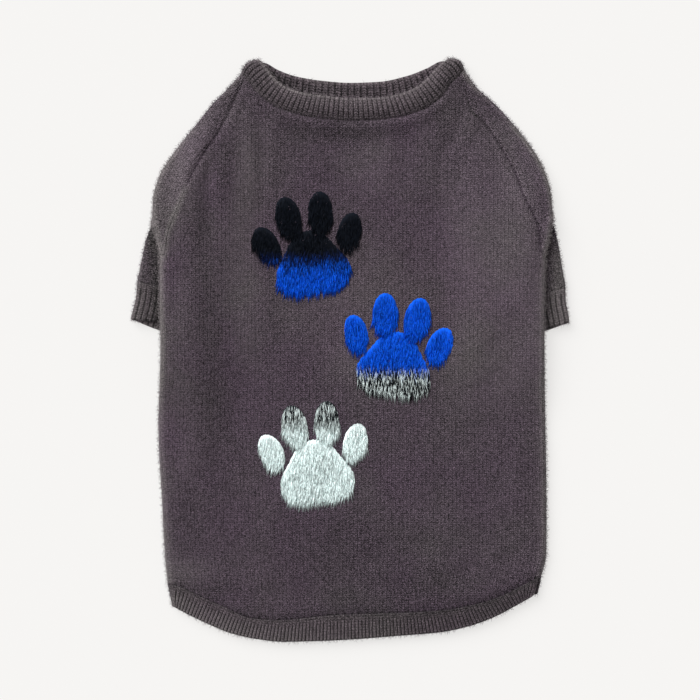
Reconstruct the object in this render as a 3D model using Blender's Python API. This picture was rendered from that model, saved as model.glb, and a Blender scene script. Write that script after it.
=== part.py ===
"""Knitted dog jumper with short raglan sleeves, lying flat with its back up.

Eight cloth pieces, each a wall of knit on its own middle surface: back panel, chest panel, two
sleeves, two cuffs, neck band and hem band. X runs across the jumper, Y from hem to neck, Z up
from the surface that it lies on. The sizes below are in millimetres.

Under each side the layers are, from below: the sleeve's lower layer, its upper layer, the body
turned under, and the back. The cloth between the last three makes a pleat that starts where the
body's edge leaves the sleeve's edge and reaches in to the underarm.
"""

import math

import bmesh
import bpy
import numpy as np

MM = 0.001

WALL = 2.4  # thickness of the knit
SEAM_GAP = 0.3  # between two panels at a seam
BAND_GAP = 0.7  # between a panel and a band, whose folds lean away from each other
PLEAT_GAP = 1.0  # between the cloth turned under and the pleat's end
FOLD_R = 1.6  # radius of a fold, to the middle of the wall
PLEAT_R = 1.5  # radius inside the pleat, to the middle of the wall
STRIP_WIDTH = 0.8  # between the body's fold and the raglan seam at the underarm

# Heights of the middle of each layer
FLOOR_Z = WALL / 2
SLEEVE_Z = FLOOR_Z + 2 * FOLD_R
TURNED_Z = SLEEVE_Z + 2 * PLEAT_R
LIFT = TURNED_Z - FLOOR_Z  # how much a sleeve lifts the body that lies on it
BACK_OVER = 2 * FOLD_R  # from the layer turned under to the back above it

UNDERARM_Y = 60.0
UNDERARM_X = 88.0  # side seams, and the ends of the chest's raglan seams
UNDERARM_RISE = 14.0  # length over which the chest climbs onto the sleeve
LEVEL_Y = -50.0  # below this the body lies flat on the surface
CUFF_CLEAR_Y = -2.0  # above this it lies on the sleeve
SHOULDER_Y = 88.0  # above this the shoulder sinks
SHOULDER_TOP_Y = 172.0
RAMP_IN = 56.0  # the body starts to climb onto a sleeve here
RAMP_OUT = 86.0  # and is on it here

# Body below the underarm: outermost cloth on each side at each level
BODY_COLUMNS = ("y", "left", "right")
BODY = (
    (60, 121.3, 124.9),
    (30, 121.4, 124.2),
    (0, 121.0, 124.2),
    (-50, 122.9, 125.4),
    (-100, 120.4, 126.1),
    (-130, 118.9, 126.0),
    (-150, 117.0, 121.6),
)

# Sleeve caps above the underarm, a row for each level, in distances from the middle line:
# seam = raglan seam on the back, fold = edge of the body where it is pleated over the sleeve,
# edge = outermost cloth, pleat = how far in the pleat reaches, chest = raglan seam underneath.
# slope = how much the section leans along the shoulder.
CAP_COLUMNS = ("y", "slope", "seam", "fold", "edge", "pleat", "chest")
CAP = {
    "left": (
        (176.0, 1.04, 66.6, 70.0, 70.0, 70.0, 62.5),
        (167.0, 0.5, 71.8, 78.0, 78.0, 78.0, 63.5),
        (155.0, 0.2, 76.8, 89.6, 89.6, 89.6, 65.5),
        (141.0, 0.0, 83.0, 100.6, 100.6, 100.6, 68.5),
        (125.0, 0.0, 93.6, 113.2, 113.2, 113.2, 72.0),
        (109.0, 0.0, 101.8, 122.6, 122.6, 122.6, 75.5),
        (95.0, 0.0, 107.2, 126.1, 126.1, 126.1, 79.0),
        (83.0, 0.0, 112.4, 126.6, 126.6, 126.6, 82.0),
        (76.0, 0.0, 115.4, 125.2, 129.0, 117.0, 84.0),
        (68.0, 0.0, 117.0, 123.0, 131.5, 103.0, 86.0),
        (60.0, 0.0, 117.7, 121.3, 133.1, 89.4, 88.0),
    ),
    "right": (
        (178.4, 1.3, 69.8, 73.4, 73.4, 73.4, 65.5),
        (168.0, 0.5, 74.2, 80.6, 80.6, 80.6, 66.5),
        (155.0, 0.2, 78.2, 94.6, 94.6, 94.6, 68.0),
        (141.0, 0.0, 88.4, 107.0, 107.0, 107.0, 71.0),
        (125.0, 0.0, 98.6, 118.8, 118.8, 118.8, 74.0),
        (111.0, 0.0, 105.8, 125.6, 125.6, 125.6, 76.5),
        (98.0, 0.0, 110.2, 128.8, 128.8, 128.8, 79.5),
        (86.0, 0.0, 116.4, 129.8, 129.8, 129.8, 82.0),
        (78.0, 0.0, 119.6, 128.8, 131.6, 119.0, 84.0),
        (69.0, 0.0, 120.8, 127.2, 133.4, 103.0, 86.0),
        (60.0, 0.0, 121.3, 124.9, 134.9, 89.4, 88.0),
    ),
}

# Sleeve tubes below the underarm: the outer and inner folds, a row for each section. spread = how
# far the cut edges of the two layers stand apart at the opening.
TUBE_COLUMNS = ("outer_x", "outer_y", "inner_x", "inner_y", "spread")
TUBE = {
    "left": (
        (133.1, 60.0, 88.2, 60.0, 0.0),
        (134.8, 51.3, 88.6, 46.0, 0.0),
        (136.4, 42.8, 89.4, 33.0, 0.0),
        (137.0, 34.5, 90.6, 24.5, 0.4),
        (138.7, 26.5, 92.0, 16.0, 1.5),
        (140.8, 18.8, 93.8, 8.5, 3.0),
    ),
    "right": (
        (134.9, 60.0, 88.2, 60.0, 0.0),
        (136.6, 49.5, 88.8, 42.5, 0.0),
        (138.2, 39.0, 90.0, 26.5, 0.0),
        (138.2, 32.0, 91.4, 18.5, 0.1),
        (139.5, 24.5, 93.0, 10.5, 0.3),
        (140.8, 16.8, 95.0, 2.5, 0.6),
    ),
}
CUFF_FROM = 2  # the section at which the sleeve ends and the cuff begins

# Neck band, across the back (upper layer) and across the chest (lower layer), between the raglan
# seams; its ends are the fold over each shoulder.
BAND_COLUMNS = ("seam_x", "seam_y", "rim_x", "rim_y")
NECK_BACK = (
    (-64.0, 170.0, -52.6, 180.0),
    (-57.5, 162.8, -47.5, 173.9),
    (-47.0, 155.2, -39.5, 167.8),
    (-33.0, 150.6, -28.0, 164.0),
    (-16.0, 147.6, -14.0, 161.7),
    (0.0, 146.4, 0.0, 160.2),
    (20.0, 147.1, 17.5, 160.8),
    (37.0, 150.2, 31.5, 163.4),
    (50.0, 155.6, 42.5, 167.5),
    (59.0, 162.4, 50.0, 173.5),
    (64.2, 169.6, 55.0, 179.4),
)
NECK_CHEST = (
    (-52.0, 164.0, -46.5, 179.5),
    (-38.0, 159.6, -35.5, 174.5),
    (-20.0, 157.0, -19.0, 171.4),
    (0.0, 156.3, 0.0, 170.3),
    (20.0, 157.2, 19.0, 171.2),
    (40.0, 160.4, 36.5, 174.9),
    (56.0, 165.6, 49.5, 180.2),
)
NECK_FOLD_RIM = {"left": (57.4, 185.9), "right": (61.4, 186.0)}
NECK_SEAM_RIM = {"left": (55.7, 184.0), "right": (59.3, 183.8)}
NECK_CHEST_RIM = {"left": (54.2, 184.2), "right": (57.6, 185.0)}
NECK_BULGE = 2.8  # how far the band's fold swells between its seam and its rim

# Hem band: seam and rim across the back, and across the chest, which is cut shorter
HEM_BACK = (
    (-116.0, -150.4, -112.6, -164.6),
    (-108.0, -152.9, -104.0, -169.3),
    (-95.0, -159.0, -90.5, -175.8),
    (-80.0, -165.6, -76.0, -181.6),
    (-63.0, -172.6, -60.0, -185.2),
    (-45.0, -173.8, -43.0, -187.06),
    (-20.0, -171.4, -19.0, -186.6),
    (0.0, -170.0, 0.0, -185.7),
    (30.0, -169.2, 29.0, -183.4),
    (60.0, -167.5, 57.5, -181.0),
    (80.0, -163.7, 75.5, -177.2),
    (97.0, -158.4, 92.0, -171.2),
    (110.0, -152.0, 106.0, -163.8),
    (122.0, -145.8, 119.0, -156.4),
)
HEM_CHEST = (
    (-116.0, -150.4, -112.6, -164.6),
    (-100.0, -142.0, -96.0, -156.0),
    (-75.0, -129.0, -72.0, -142.5),
    (-40.0, -117.0, -38.5, -130.5),
    (0.0, -113.0, 0.0, -126.5),
    (40.0, -116.0, 38.5, -129.5),
    (80.0, -129.0, 77.0, -142.5),
    (105.0, -139.5, 101.0, -152.5),
    (122.0, -145.8, 119.0, -156.4),
)

# Soft ridges on the back, pushed up where the cloth is bunched: ends, half width and height. They
# fade out over RIDGE_FADE at the side folds, and over a share RIDGE_TAPER of their length.
RIDGE_FADE = 12.0
RIDGE_TAPER = 0.25
RIDGE_COLUMNS = ("x0", "y0", "x1", "y1", "half_width", "height")
RIDGES = (
    (-66, 150, -72, 40, 13, 0.9),
    (-104, 128, -108, 70, 12, 0.8),
    (40, 140, 18, 60, 16, 0.6),
    (84, 120, 92, -20, 18, 0.8),
    (-70, -145, -20, -152, 12, 0.9),
    (40, -150, 92, -136, 12, 0.7),
)

# Stations across the body, as shares of its half width, and the levels of its rows
BACK_SHARES = (0, 0.17, 0.34, 0.48, 0.56, 0.63, 0.70, 0.77, 0.84, 0.925, 1)
CHEST_SHARES = (0, 0.23, 0.46, 0.64, 0.75, 0.84, 0.93, 1)
BODY_LEVELS = (60, 48, 37, 26, 14, 3, -8, -20, -35, -50)
HEM_ROWS = 4  # rows from the last level down to the hem seam
BAND_ROWS = 2
NECK_BACK_STEPS = 20
NECK_CHEST_STEPS = 14
ARC_STEPS = 4
FLAT_STEPS = 2
STRIP_STEPS = 2
LOWER_STEPS = 3
PLAIN_ARC_STEPS = 3 * ARC_STEPS + 2 * FLAT_STEPS  # as many as round a pleated section's folds
MEETING_ROUNDS = 6  # rounds to find where a station's line meets the hem seam
MERGE_DISTANCE = 0.01  # between points that two grids share

HEATHER = (0.066, 0.051, 0.062)
RIB_HEATHER = (0.072, 0.060, 0.068)
ROUGHNESS = 0.95


def ease(start, end, value):
    """0 at start and 1 at end, level at both; start may be above end."""
    share = min(max((value - start) / (end - start), 0.0), 1.0)
    return share * share * (3.0 - 2.0 * share)


def named(columns, row):
    """A table's row as a dictionary."""
    return dict(zip(columns, row))


def read_table(rows, column, place):
    """A column of a table at a place along its first column, on a smooth curve."""
    knots = np.array([row[0] for row in rows], float)
    values = np.array([row[column] for row in rows], float)
    return smooth(knots, values, place)


def smooth(knots, values, place):
    """A cubic through the knots that doesn't overshoot between them."""
    if knots[0] > knots[-1]:
        knots, values = knots[::-1], values[::-1]
    steps = np.diff(knots)
    slopes = np.diff(values) / steps
    tangents = np.concatenate(([slopes[0]], np.zeros(len(slopes) - 1), [slopes[-1]]))
    for i in range(1, len(slopes)):
        if slopes[i - 1] * slopes[i] > 0:
            tangents[i] = 2.0 / (1.0 / slopes[i - 1] + 1.0 / slopes[i])
    place = min(max(place, knots[0]), knots[-1])
    i = int(min(np.searchsorted(knots, place, side="right") - 1, len(steps) - 1))
    t = (place - knots[i]) / steps[i]
    return float(
        values[i] * (1 + 2 * t) * (1 - t) ** 2
        + steps[i] * tangents[i] * t * (1 - t) ** 2
        + values[i + 1] * t * t * (3 - 2 * t)
        + steps[i] * tangents[i + 1] * t * t * (t - 1)
    )


def lengths(points):
    """How far along a line each of its points is."""
    spans = np.linalg.norm(np.diff(np.array(points)[:, :2], axis=0), axis=1)
    return np.concatenate(([0.0], np.cumsum(spans)))


def along(points, shares):
    """Points at these shares of the length of a smooth curve through points."""
    points = np.array(points, float)
    knots = lengths(points)
    places = np.array(shares) * knots[-1]
    return np.array([[smooth(knots, column, place) for column in points.T] for place in places])


def ridge_height(x, y):
    """How much the soft ridges lift the back at (x, y)."""
    height = 0.0
    for row in RIDGES:
        ridge = named(RIDGE_COLUMNS, row)
        start = np.array((ridge["x0"], ridge["y0"]), float)
        run = np.array((ridge["x1"], ridge["y1"]), float) - start
        length = np.linalg.norm(run)
        share = np.dot(np.array((x, y)) - start, run) / length**2
        aside = abs(np.cross(run, np.array((x, y)) - start)) / length
        ends = ease(-RIDGE_TAPER, RIDGE_TAPER, share) * ease(1 + RIDGE_TAPER, 1 - RIDGE_TAPER, share)
        height += ridge["height"] * ends * ease(ridge["half_width"], 0, aside)
    return height


def rise(x, y):
    """How much the sleeve underneath lifts the body at (x, y)."""
    length = ease(LEVEL_Y, CUFF_CLEAR_Y, y) * ease(SHOULDER_TOP_Y, SHOULDER_Y, y)
    return LIFT * length * ease(RAMP_IN, RAMP_OUT, abs(x))


def turned_z(x, y):
    """Middle of the body's layer that is turned under."""
    return FLOOR_Z + rise(x, y)


def chest_z(x, y):
    """Middle of the chest panel, which climbs onto the sleeves below the underarms."""
    return FLOOR_Z + rise(x, y) * ease(UNDERARM_Y, UNDERARM_Y - UNDERARM_RISE, y)


def back_z(x, y):
    """Middle of the upper layer."""
    ridges = ridge_height(x, y) * ease(0, RIDGE_FADE, fold_distance(x, y))
    return turned_z(x, y) + BACK_OVER + ridges


def fold_distance(x, y):
    """How far (x, y) is inside the body's side fold, which stays level across."""
    side = "left" if x < 0 else "right"
    if y < UNDERARM_Y:
        edge = read_table(BODY, BODY_COLUMNS.index(side), y)
    else:
        edge = read_table(CAP[side], CAP_COLUMNS.index("fold"), y)
    return edge - abs(x)


def arc(tip, inward, upper_z, lower_z, steps, turn=1):
    """Points round a fold from one layer to the other, without the first. tip is its outermost
    point, inward the level unit vector away from it; turn=-1 goes from lower to upper."""
    radius = (upper_z - lower_z) / 2
    points = []
    for i in range(1, steps + 1):
        angle = math.pi * i / steps
        reach = radius * (1 - math.sin(angle))
        height = (upper_z + lower_z) / 2 + turn * radius * math.cos(angle)
        points.append((tip[0] + inward[0] * reach, tip[1] + inward[1] * reach, height))
    return points


def spaced(start, end, steps):
    """Points on a straight line, without the first."""
    start, end = np.array(start, float), np.array(end, float)
    return [tuple(start + (end - start) * i / steps) for i in range(1, steps + 1)]


def mirror_sign(side):
    return -1 if side == "left" else 1


# Body below the underarm


def body_stations():
    """The whole loop round the body: side seam, left fold, back, right fold, side seam, chest.
    A station is (layer, side, value): a share of the half width, or an angle round a fold."""
    turned = [("turned", "left", i / FLAT_STEPS) for i in range(FLAT_STEPS + 1)]
    left_arc = [("fold", "left", -1 + 2 * i / ARC_STEPS) for i in range(1, ARC_STEPS + 1)]
    back = [("back", "left", share) for share in BACK_SHARES[:0:-1]]
    back += [("back", "right", share) for share in BACK_SHARES]
    right_arc = [("fold", "right", 1 - 2 * i / ARC_STEPS) for i in range(ARC_STEPS)]
    right = [("turned", "right", 1 - i / FLAT_STEPS) for i in range(FLAT_STEPS + 1)]
    chest = [("chest", "right", share) for share in CHEST_SHARES[:0:-1]]
    chest += [("chest", "left", share) for share in CHEST_SHARES]
    return turned + left_arc + back + right_arc + right, chest


def body_point(station, y, gap=0.0):
    """Where a station of the loop is at level y, with half a seam's gap at the side seams."""
    layer, side, value = station
    sign = mirror_sign(side)
    tip = read_table(BODY, BODY_COLUMNS.index(side), y) - WALL / 2
    if layer == "back":
        x = sign * value * (tip - FOLD_R - STRIP_WIDTH)
        return (x, y, back_z(x, y))
    if layer == "chest":
        x = sign * value * (UNDERARM_X - gap)
        return (x, y, chest_z(x, y))
    if layer == "turned":
        x = sign * (UNDERARM_X + gap + value * (tip - FOLD_R - UNDERARM_X - gap))
        return (x, y, turned_z(x, y))
    angle = value * math.pi / 2
    level = turned_z(sign * tip, y) + BACK_OVER / 2
    x = sign * (tip - FOLD_R * (1 - math.cos(angle)))
    return (x, y, level + FOLD_R * math.sin(angle))



def hem_table(station):
    return HEM_CHEST if station[0] in ("turned", "chest") else HEM_BACK


def hem_level(station, gap):
    """The level of the hem seam at a station, found where the station's line meets it."""
    y = LEVEL_Y
    for _ in range(MEETING_ROUNDS):
        x = body_point(station, y)[0]
        y = read_table(hem_table(station), BAND_COLUMNS.index("seam_y"), x)
    return y + gap


def body_rows(stations, first_y, gap):
    """Rows of points from the underarm down to the hem seam."""
    rows = []
    for level in BODY_LEVELS:
        row = []
        for station in stations:
            y = first_y(station) if level == UNDERARM_Y else level
            row.append(body_point(station, y, gap))
        rows.append(row)
    for i in range(1, HEM_ROWS + 1):
        row = []
        for station in stations:
            end = hem_level(station, BAND_GAP / 2)
            row.append(body_point(station, BODY_LEVELS[-1] + (end - BODY_LEVELS[-1]) * i / HEM_ROWS, gap))
        rows.append(row)
    return rows


# Sleeves


def cap_row(side, index):
    return named(CAP_COLUMNS, CAP[side][index])


def cap_place(row, side, x):
    """The plan point of a cap section at distance x from the middle line."""
    tip = row["edge"] - WALL / 2
    return (mirror_sign(side) * x, row["y"] - row["slope"] * (tip - x))


def cap_section(side, index):
    """One section of the sleeve cap: back seam, body fold, pleat, outer fold, chest seam."""
    row = cap_row(side, index)
    sign = mirror_sign(side)
    lean = math.hypot(1.0, row["slope"])
    inward = (-sign / lean, -row["slope"] / lean)
    tip = cap_place(row, side, row["edge"] - WALL / 2)
    corner = WALL / 2 if index == len(CAP[side]) - 1 else 0.0
    chest = cap_place(row, side, row["chest"] + SEAM_GAP / 2 + corner)
    seam = cap_place(row, side, row["seam"] + SEAM_GAP / 2)
    pleated = row["fold"] < row["edge"]
    if not pleated:
        top = back_z(*tip)
        start = np.array(arc(tip, inward, top, FLOOR_Z, 1, -1)[0][:2])
        points = [(seam[0], seam[1], back_z(*seam))]
        points += spaced(points[0], (start[0], start[1], top), STRIP_STEPS)
        points += arc(tip, inward, top, FLOOR_Z, PLAIN_ARC_STEPS)
        return points + spaced(points[-1], (chest[0], chest[1], FLOOR_Z), LOWER_STEPS)
    y = row["y"]
    fold = (sign * (row["fold"] - WALL / 2), y)
    pleat = (sign * row["pleat"], y)
    out = (sign, 0.0)
    top = TURNED_Z + BACK_OVER
    points = [(seam[0], y, back_z(*seam))]
    points += spaced(points[0], (fold[0] - sign * FOLD_R, y, top), STRIP_STEPS)
    points += arc(fold, inward, top, TURNED_Z, ARC_STEPS)
    points += spaced(points[-1], (pleat[0] + sign * PLEAT_R, y, TURNED_Z), FLAT_STEPS)
    points += arc(pleat, out, TURNED_Z, SLEEVE_Z, ARC_STEPS)
    points += spaced(points[-1], (tip[0] - sign * FOLD_R, y, SLEEVE_Z), FLAT_STEPS)
    points += arc(tip, inward, SLEEVE_Z, FLOOR_Z, ARC_STEPS)
    return points + spaced(points[-1], (chest[0], y, FLOOR_Z), LOWER_STEPS)


def tube_section(side, index, gap=0.0):
    """One section round the flattened sleeve or cuff, from the pleat's end: upper layer, outer
    fold, lower layer, inner fold. gap moves it along the sleeve."""
    row = named(TUBE_COLUMNS, TUBE[side][index])
    sign = mirror_sign(side)
    outer = np.array((sign * (row["outer_x"] - WALL / 2), row["outer_y"] + gap))
    inner = np.array((sign * (row["inner_x"] + WALL / 2), row["inner_y"] + gap))
    across = (inner - outer) / np.linalg.norm(inner - outer)
    start = inner - across * FOLD_R
    end = outer + across * FOLD_R
    spread = np.array((0.0, row["spread"]))
    upper = [tuple(start) + (SLEEVE_Z,)]
    upper += spaced(upper[0], tuple(end) + (SLEEVE_Z,), FLAT_STEPS)
    fold = arc(outer, across, SLEEVE_Z, FLOOR_Z, ARC_STEPS)
    lower = spaced(fold[-1], tuple(start) + (FLOOR_Z,), LOWER_STEPS)
    middle = (upper[0][0] + upper[-1][0]) / 2, (upper[0][1] + upper[-1][1]) / 2 + spread[1]
    upper[1] = (middle[0], middle[1], SLEEVE_Z)
    for i in range(LOWER_STEPS - 1):
        x, y, z = lower[i]
        lower[i] = (x, y - spread[1] * math.sin(math.pi * (i + 1) / LOWER_STEPS), z)
    back = arc(inner, -across, SLEEVE_Z, FLOOR_Z, ARC_STEPS, -1)[:-1]
    return upper + fold + lower + back


def sleeve_grids(side):
    """The cap, open along its seams, and the closed tube below the underarm."""
    cap = [cap_section(side, i) for i in range(len(CAP[side]))]
    seam, rim, _ = neck_fold(side)
    away = (seam - rim) / np.linalg.norm(seam - rim) * BAND_GAP
    cap[0] = [(x + away[0], y + away[1], z) for x, y, z in cap[0]]
    last = cap[-1]
    first = STRIP_STEPS + ARC_STEPS + FLAT_STEPS + ARC_STEPS
    joined = last[first:]
    top, bottom = np.array(joined[0]), np.array(joined[-1])
    inner = []
    for i in range(1, ARC_STEPS):
        angle = math.pi * i / ARC_STEPS
        point = bottom + (top - bottom) * (1 - math.cos(angle)) / 2
        point[0] -= mirror_sign(side) * WALL / 4 * math.sin(angle)
        inner.append(tuple(point))
    tube = [joined + inner]
    for i in range(1, CUFF_FROM):
        tube.append(tube_section(side, i))
    tube.append(tube_section(side, CUFF_FROM, SEAM_GAP / 2))
    return cap, tube


def cuff_grid(side):
    sections = [tube_section(side, CUFF_FROM, -SEAM_GAP / 2)]
    for i in range(CUFF_FROM + 1, len(TUBE[side])):
        sections.append(tube_section(side, i))
    return sections


# Neck


def neck_fold(side):
    """The band's fold over a shoulder, at its seam and at its rim: tips and inward direction."""
    row = cap_row(side, 0)
    sign = mirror_sign(side)
    seam = np.array(cap_place(row, side, row["edge"] - WALL / 2))
    rim = np.array(NECK_FOLD_RIM[side]) * (sign, 1)
    lean = math.hypot(1.0, row["slope"])
    return seam, rim, np.array((-sign / lean, -row["slope"] / lean))


def neck_path(table, column, rims):
    """Points (seam x, seam y, rim x, rim y) from the left fold to the right fold: the fold's
    start, the raglan seam, the table's rows, and the same on the right."""
    ends = {}
    for side in ("left", "right"):
        seam, rim, inward = neck_fold(side)
        row = cap_row(side, 0)
        raglan = cap_place(row, side, row[column])
        raglan_rim = np.array(rims[side]) * (mirror_sign(side), 1)
        fold = tuple(seam + inward * FOLD_R) + tuple(rim + inward * FOLD_R)
        ends[side] = [fold, tuple(raglan) + tuple(raglan_rim)]
    return ends["left"] + list(table) + ends["right"][::-1]


def neck_line(table, column, rims, shares):
    """A panel's neckline between its raglan seams, clear of the band."""
    line = along(neck_path(table, column, rims)[1:-1], shares)
    away = line[:, :2] - line[:, 2:]
    away /= np.linalg.norm(away, axis=1)[:, None]
    return line[:, :2] + away * BAND_GAP


def neck_rings():
    """Rows of the neck band from seam to rim, each a closed ring."""
    back = along(neck_path(NECK_BACK, "seam", NECK_SEAM_RIM), np.linspace(0, 1, NECK_BACK_STEPS + 1))
    chest = along(neck_path(NECK_CHEST, "chest", NECK_CHEST_RIM), np.linspace(1, 0, NECK_CHEST_STEPS + 1))
    rings = []
    for i in range(BAND_ROWS + 1):
        share = i / BAND_ROWS
        ring = [blend_band(place, share) + (FLOOR_Z + BACK_OVER,) for place in back]
        ring += neck_arc("right", share, 1)[:-1]
        ring += [blend_band(place, share) + (FLOOR_Z,) for place in chest]
        ring += neck_arc("left", share, -1)[:-1]
        rings.append(ring)
    return rings


def blend_band(place, share):
    """The plan point of a band at a share of its depth, from seam to rim."""
    return tuple(place[:2] + (place[2:] - place[:2]) * share)


def neck_arc(side, share, turn):
    seam, rim, inward = neck_fold(side)
    tip = seam + (rim - seam) * share - inward * NECK_BULGE * math.sin(math.pi * share)
    return arc(tip, inward, FLOOR_Z + BACK_OVER, FLOOR_Z, ARC_STEPS, turn)


# Panels


def coons(top, left, right, bottom):
    """Rows of plan points that fill four edges, each a list of points."""
    shares = lengths(bottom) / lengths(bottom)[-1]
    rows = len(left) - 1
    grid = []
    for i in range(rows + 1):
        v = i / rows
        row = []
        for j, u in enumerate(shares):
            ruled = (1 - v) * top[j] + v * bottom[j] + (1 - u) * left[i] + u * right[i]
            upper = (1 - u) * top[0] + u * top[-1]
            lower = (1 - u) * bottom[0] + u * bottom[-1]
            row.append(ruled - (1 - v) * upper - v * lower)
        grid.append(row)
    return grid


def seam_edge(side, column, start, end):
    """A panel's raglan edge from neck to underarm, beside the sleeve's sections."""
    edge = [start]
    for index in range(1, len(CAP[side]) - 1):
        row = cap_row(side, index)
        edge.append(np.array(cap_place(row, side, row[column] - SEAM_GAP / 2)))
    return edge + [end]


def yoke_rows(column, table, rims, bottom, height):
    """A panel above the underarm, between its two raglan seams."""
    bottom = np.array(bottom)
    top = neck_line(table, column, rims, lengths(bottom) / lengths(bottom)[-1])
    left = seam_edge("left", column, top[0], bottom[0])
    right = seam_edge("right", column, top[-1], bottom[-1])
    return [[(x, y, height(x, y)) for x, y in row] for row in coons(top, left, right, bottom)]


def back_grids():
    loop, _ = body_stations()
    lower = body_rows(loop, lambda s: UNDERARM_Y - (0 if s[0] == "back" else PLEAT_GAP), SEAM_GAP / 2)
    flat = [i for i, station in enumerate(loop) if station[0] == "back"]
    bottom = [lower[0][i][:2] for i in flat]
    yoke = yoke_rows("seam", NECK_BACK, NECK_SEAM_RIM, bottom, back_z)
    for i, point in zip(flat, yoke[-1]):
        lower[0][i] = point
    return yoke, lower


def chest_grids():
    _, chest = body_stations()
    lower = body_rows(chest[::-1], lambda s: UNDERARM_Y, SEAM_GAP / 2)
    bottom = [point[:2] for point in lower[0]]
    yoke = yoke_rows("chest", NECK_CHEST, NECK_CHEST_RIM, bottom, chest_z)
    lower[0] = yoke[-1]
    return yoke, lower


def hem_rings():
    """Rows of the hem band from seam to rim, each a closed ring under the body's stations."""
    loop, chest = body_stations()
    stations = loop + chest[1:-1]
    rings = []
    for i in range(BAND_ROWS + 1):
        share = i / BAND_ROWS
        ring = []
        for station in stations:
            y = hem_level(station, -BAND_GAP / 2)
            x, y, z = body_point(station, y)
            rim_x = read_table(hem_table(station), BAND_COLUMNS.index("rim_x"), x)
            rim_y = read_table(hem_table(station), BAND_COLUMNS.index("rim_y"), x)
            ring.append((x + (rim_x - x) * share, y + (rim_y - y) * share, z))
        rings.append(ring)
    return rings


# Building


def add_grid(mesh, rows, closed):
    """Quads between rows of points."""
    verts = [[mesh.verts.new([value * MM for value in point]) for point in row] for row in rows]
    count = len(rows[0])
    for upper, lower in zip(verts, verts[1:]):
        for j in range(count if closed else count - 1):
            k = (j + 1) % count
            mesh.faces.new((upper[j], lower[j], lower[k], upper[k]))


def knit_material(name, colour):
    material = bpy.data.materials.new(name)
    material.use_nodes = True
    shader = material.node_tree.nodes["Principled BSDF"]
    shader.inputs["Base Color"].default_value = (*colour, 1.0)
    shader.inputs["Roughness"].default_value = ROUGHNESS
    shader.inputs["Metallic"].default_value = 0.0
    material.diffuse_color = (*colour, 1.0)
    return material


def cloth(name, grids, colour, group):
    """A wall of knit on its middle surface, which is made of grids that share edge points."""
    mesh = bmesh.new()
    for rows, closed in grids:
        add_grid(mesh, rows, closed)
    bmesh.ops.remove_doubles(mesh, verts=mesh.verts, dist=MERGE_DISTANCE * MM)
    data = bpy.data.meshes.new(name)
    mesh.to_mesh(data)
    mesh.free()
    data.materials.append(knit_material(name + "_knit", colour))
    data.shade_smooth()
    piece = bpy.data.objects.new(name, data)
    bpy.context.collection.objects.link(piece)
    piece.parent = group
    wall = piece.modifiers.new("wall", "SOLIDIFY")
    wall.thickness = WALL * MM
    wall.offset = 0.0
    wall.use_even_offset = True
    wall.use_quality_normals = True
    wall.use_rim = True
    return piece


def build():
    for old in list(bpy.data.objects):
        bpy.data.objects.remove(old)
    group = bpy.data.objects.new("dog_jumper", None)
    bpy.context.collection.objects.link(group)
    yoke, body = back_grids()
    cloth("back_panel", ((yoke, False), (body, False)), HEATHER, group)
    yoke, body = chest_grids()
    cloth("chest_panel", ((yoke, False), (body, False)), HEATHER, group)
    for side in ("left", "right"):
        cap, tube = sleeve_grids(side)
        cloth("sleeve_" + side, ((cap, False), (tube, True)), HEATHER, group)
        cloth("cuff_" + side, ((cuff_grid(side), True),), RIB_HEATHER, group)
    cloth("neck_rib", ((neck_rings(), True),), RIB_HEATHER, group)
    cloth("hem_rib", ((hem_rings(), True),), RIB_HEATHER, group)


build()
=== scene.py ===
import math
from functools import partial, partialmethod

import bpy
import numpy as np
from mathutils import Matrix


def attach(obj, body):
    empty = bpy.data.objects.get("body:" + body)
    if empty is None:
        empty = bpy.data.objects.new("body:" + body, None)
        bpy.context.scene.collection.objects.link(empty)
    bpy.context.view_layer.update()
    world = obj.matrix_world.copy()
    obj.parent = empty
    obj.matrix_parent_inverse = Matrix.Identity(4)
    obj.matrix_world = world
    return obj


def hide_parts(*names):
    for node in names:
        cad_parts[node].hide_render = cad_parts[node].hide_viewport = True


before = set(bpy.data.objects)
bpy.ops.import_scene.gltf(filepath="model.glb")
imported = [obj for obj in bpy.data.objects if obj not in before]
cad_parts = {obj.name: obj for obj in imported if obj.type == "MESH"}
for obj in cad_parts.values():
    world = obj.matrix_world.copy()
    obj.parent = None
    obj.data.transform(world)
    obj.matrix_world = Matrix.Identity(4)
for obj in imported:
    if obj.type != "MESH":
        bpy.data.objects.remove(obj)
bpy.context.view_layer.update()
print("frame loaded:", len(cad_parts), "cloth pieces")

mm = 0.001  # everything is in millimetres until a mesh is made
signs = {"left": -1, "right": 1}

# how the layers lie, to the middle of the knit
wall = 2.4
seamGap, bandGap, pleatGap = 0.08, 0.16, 0.2
foldRadius, pleatRadius = 1.6, 1.5
backOver = 2 * foldRadius
floorLevel = wall / 2
sleeveLevel = floorLevel + backOver
turnedLevel = sleeveLevel + 2 * pleatRadius

underarmX, underarmY, underarmRise = 88.0, 60.0, 14.0
levelY, cuffClearY = -50.0, -2.0  # going up the body, it rises onto the sleeves between these
shoulderY, shoulderTopY = 88.0, 172.0  # and comes down again between these
rampIn, rampOut = 56.0, 86.0  # and it rises outwards between these


def capTable(slope, fold, edgeEnd, pleatEnd, **table):
    # edge and pleat follow the body's fold down to where the pleat opens
    edge, pleat = fold[:-3] + edgeEnd, fold[:-3] + pleatEnd
    return {**table, "slope": slope + (0,) * 8, "fold": fold, "edge": edge, "pleat": pleat}


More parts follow.
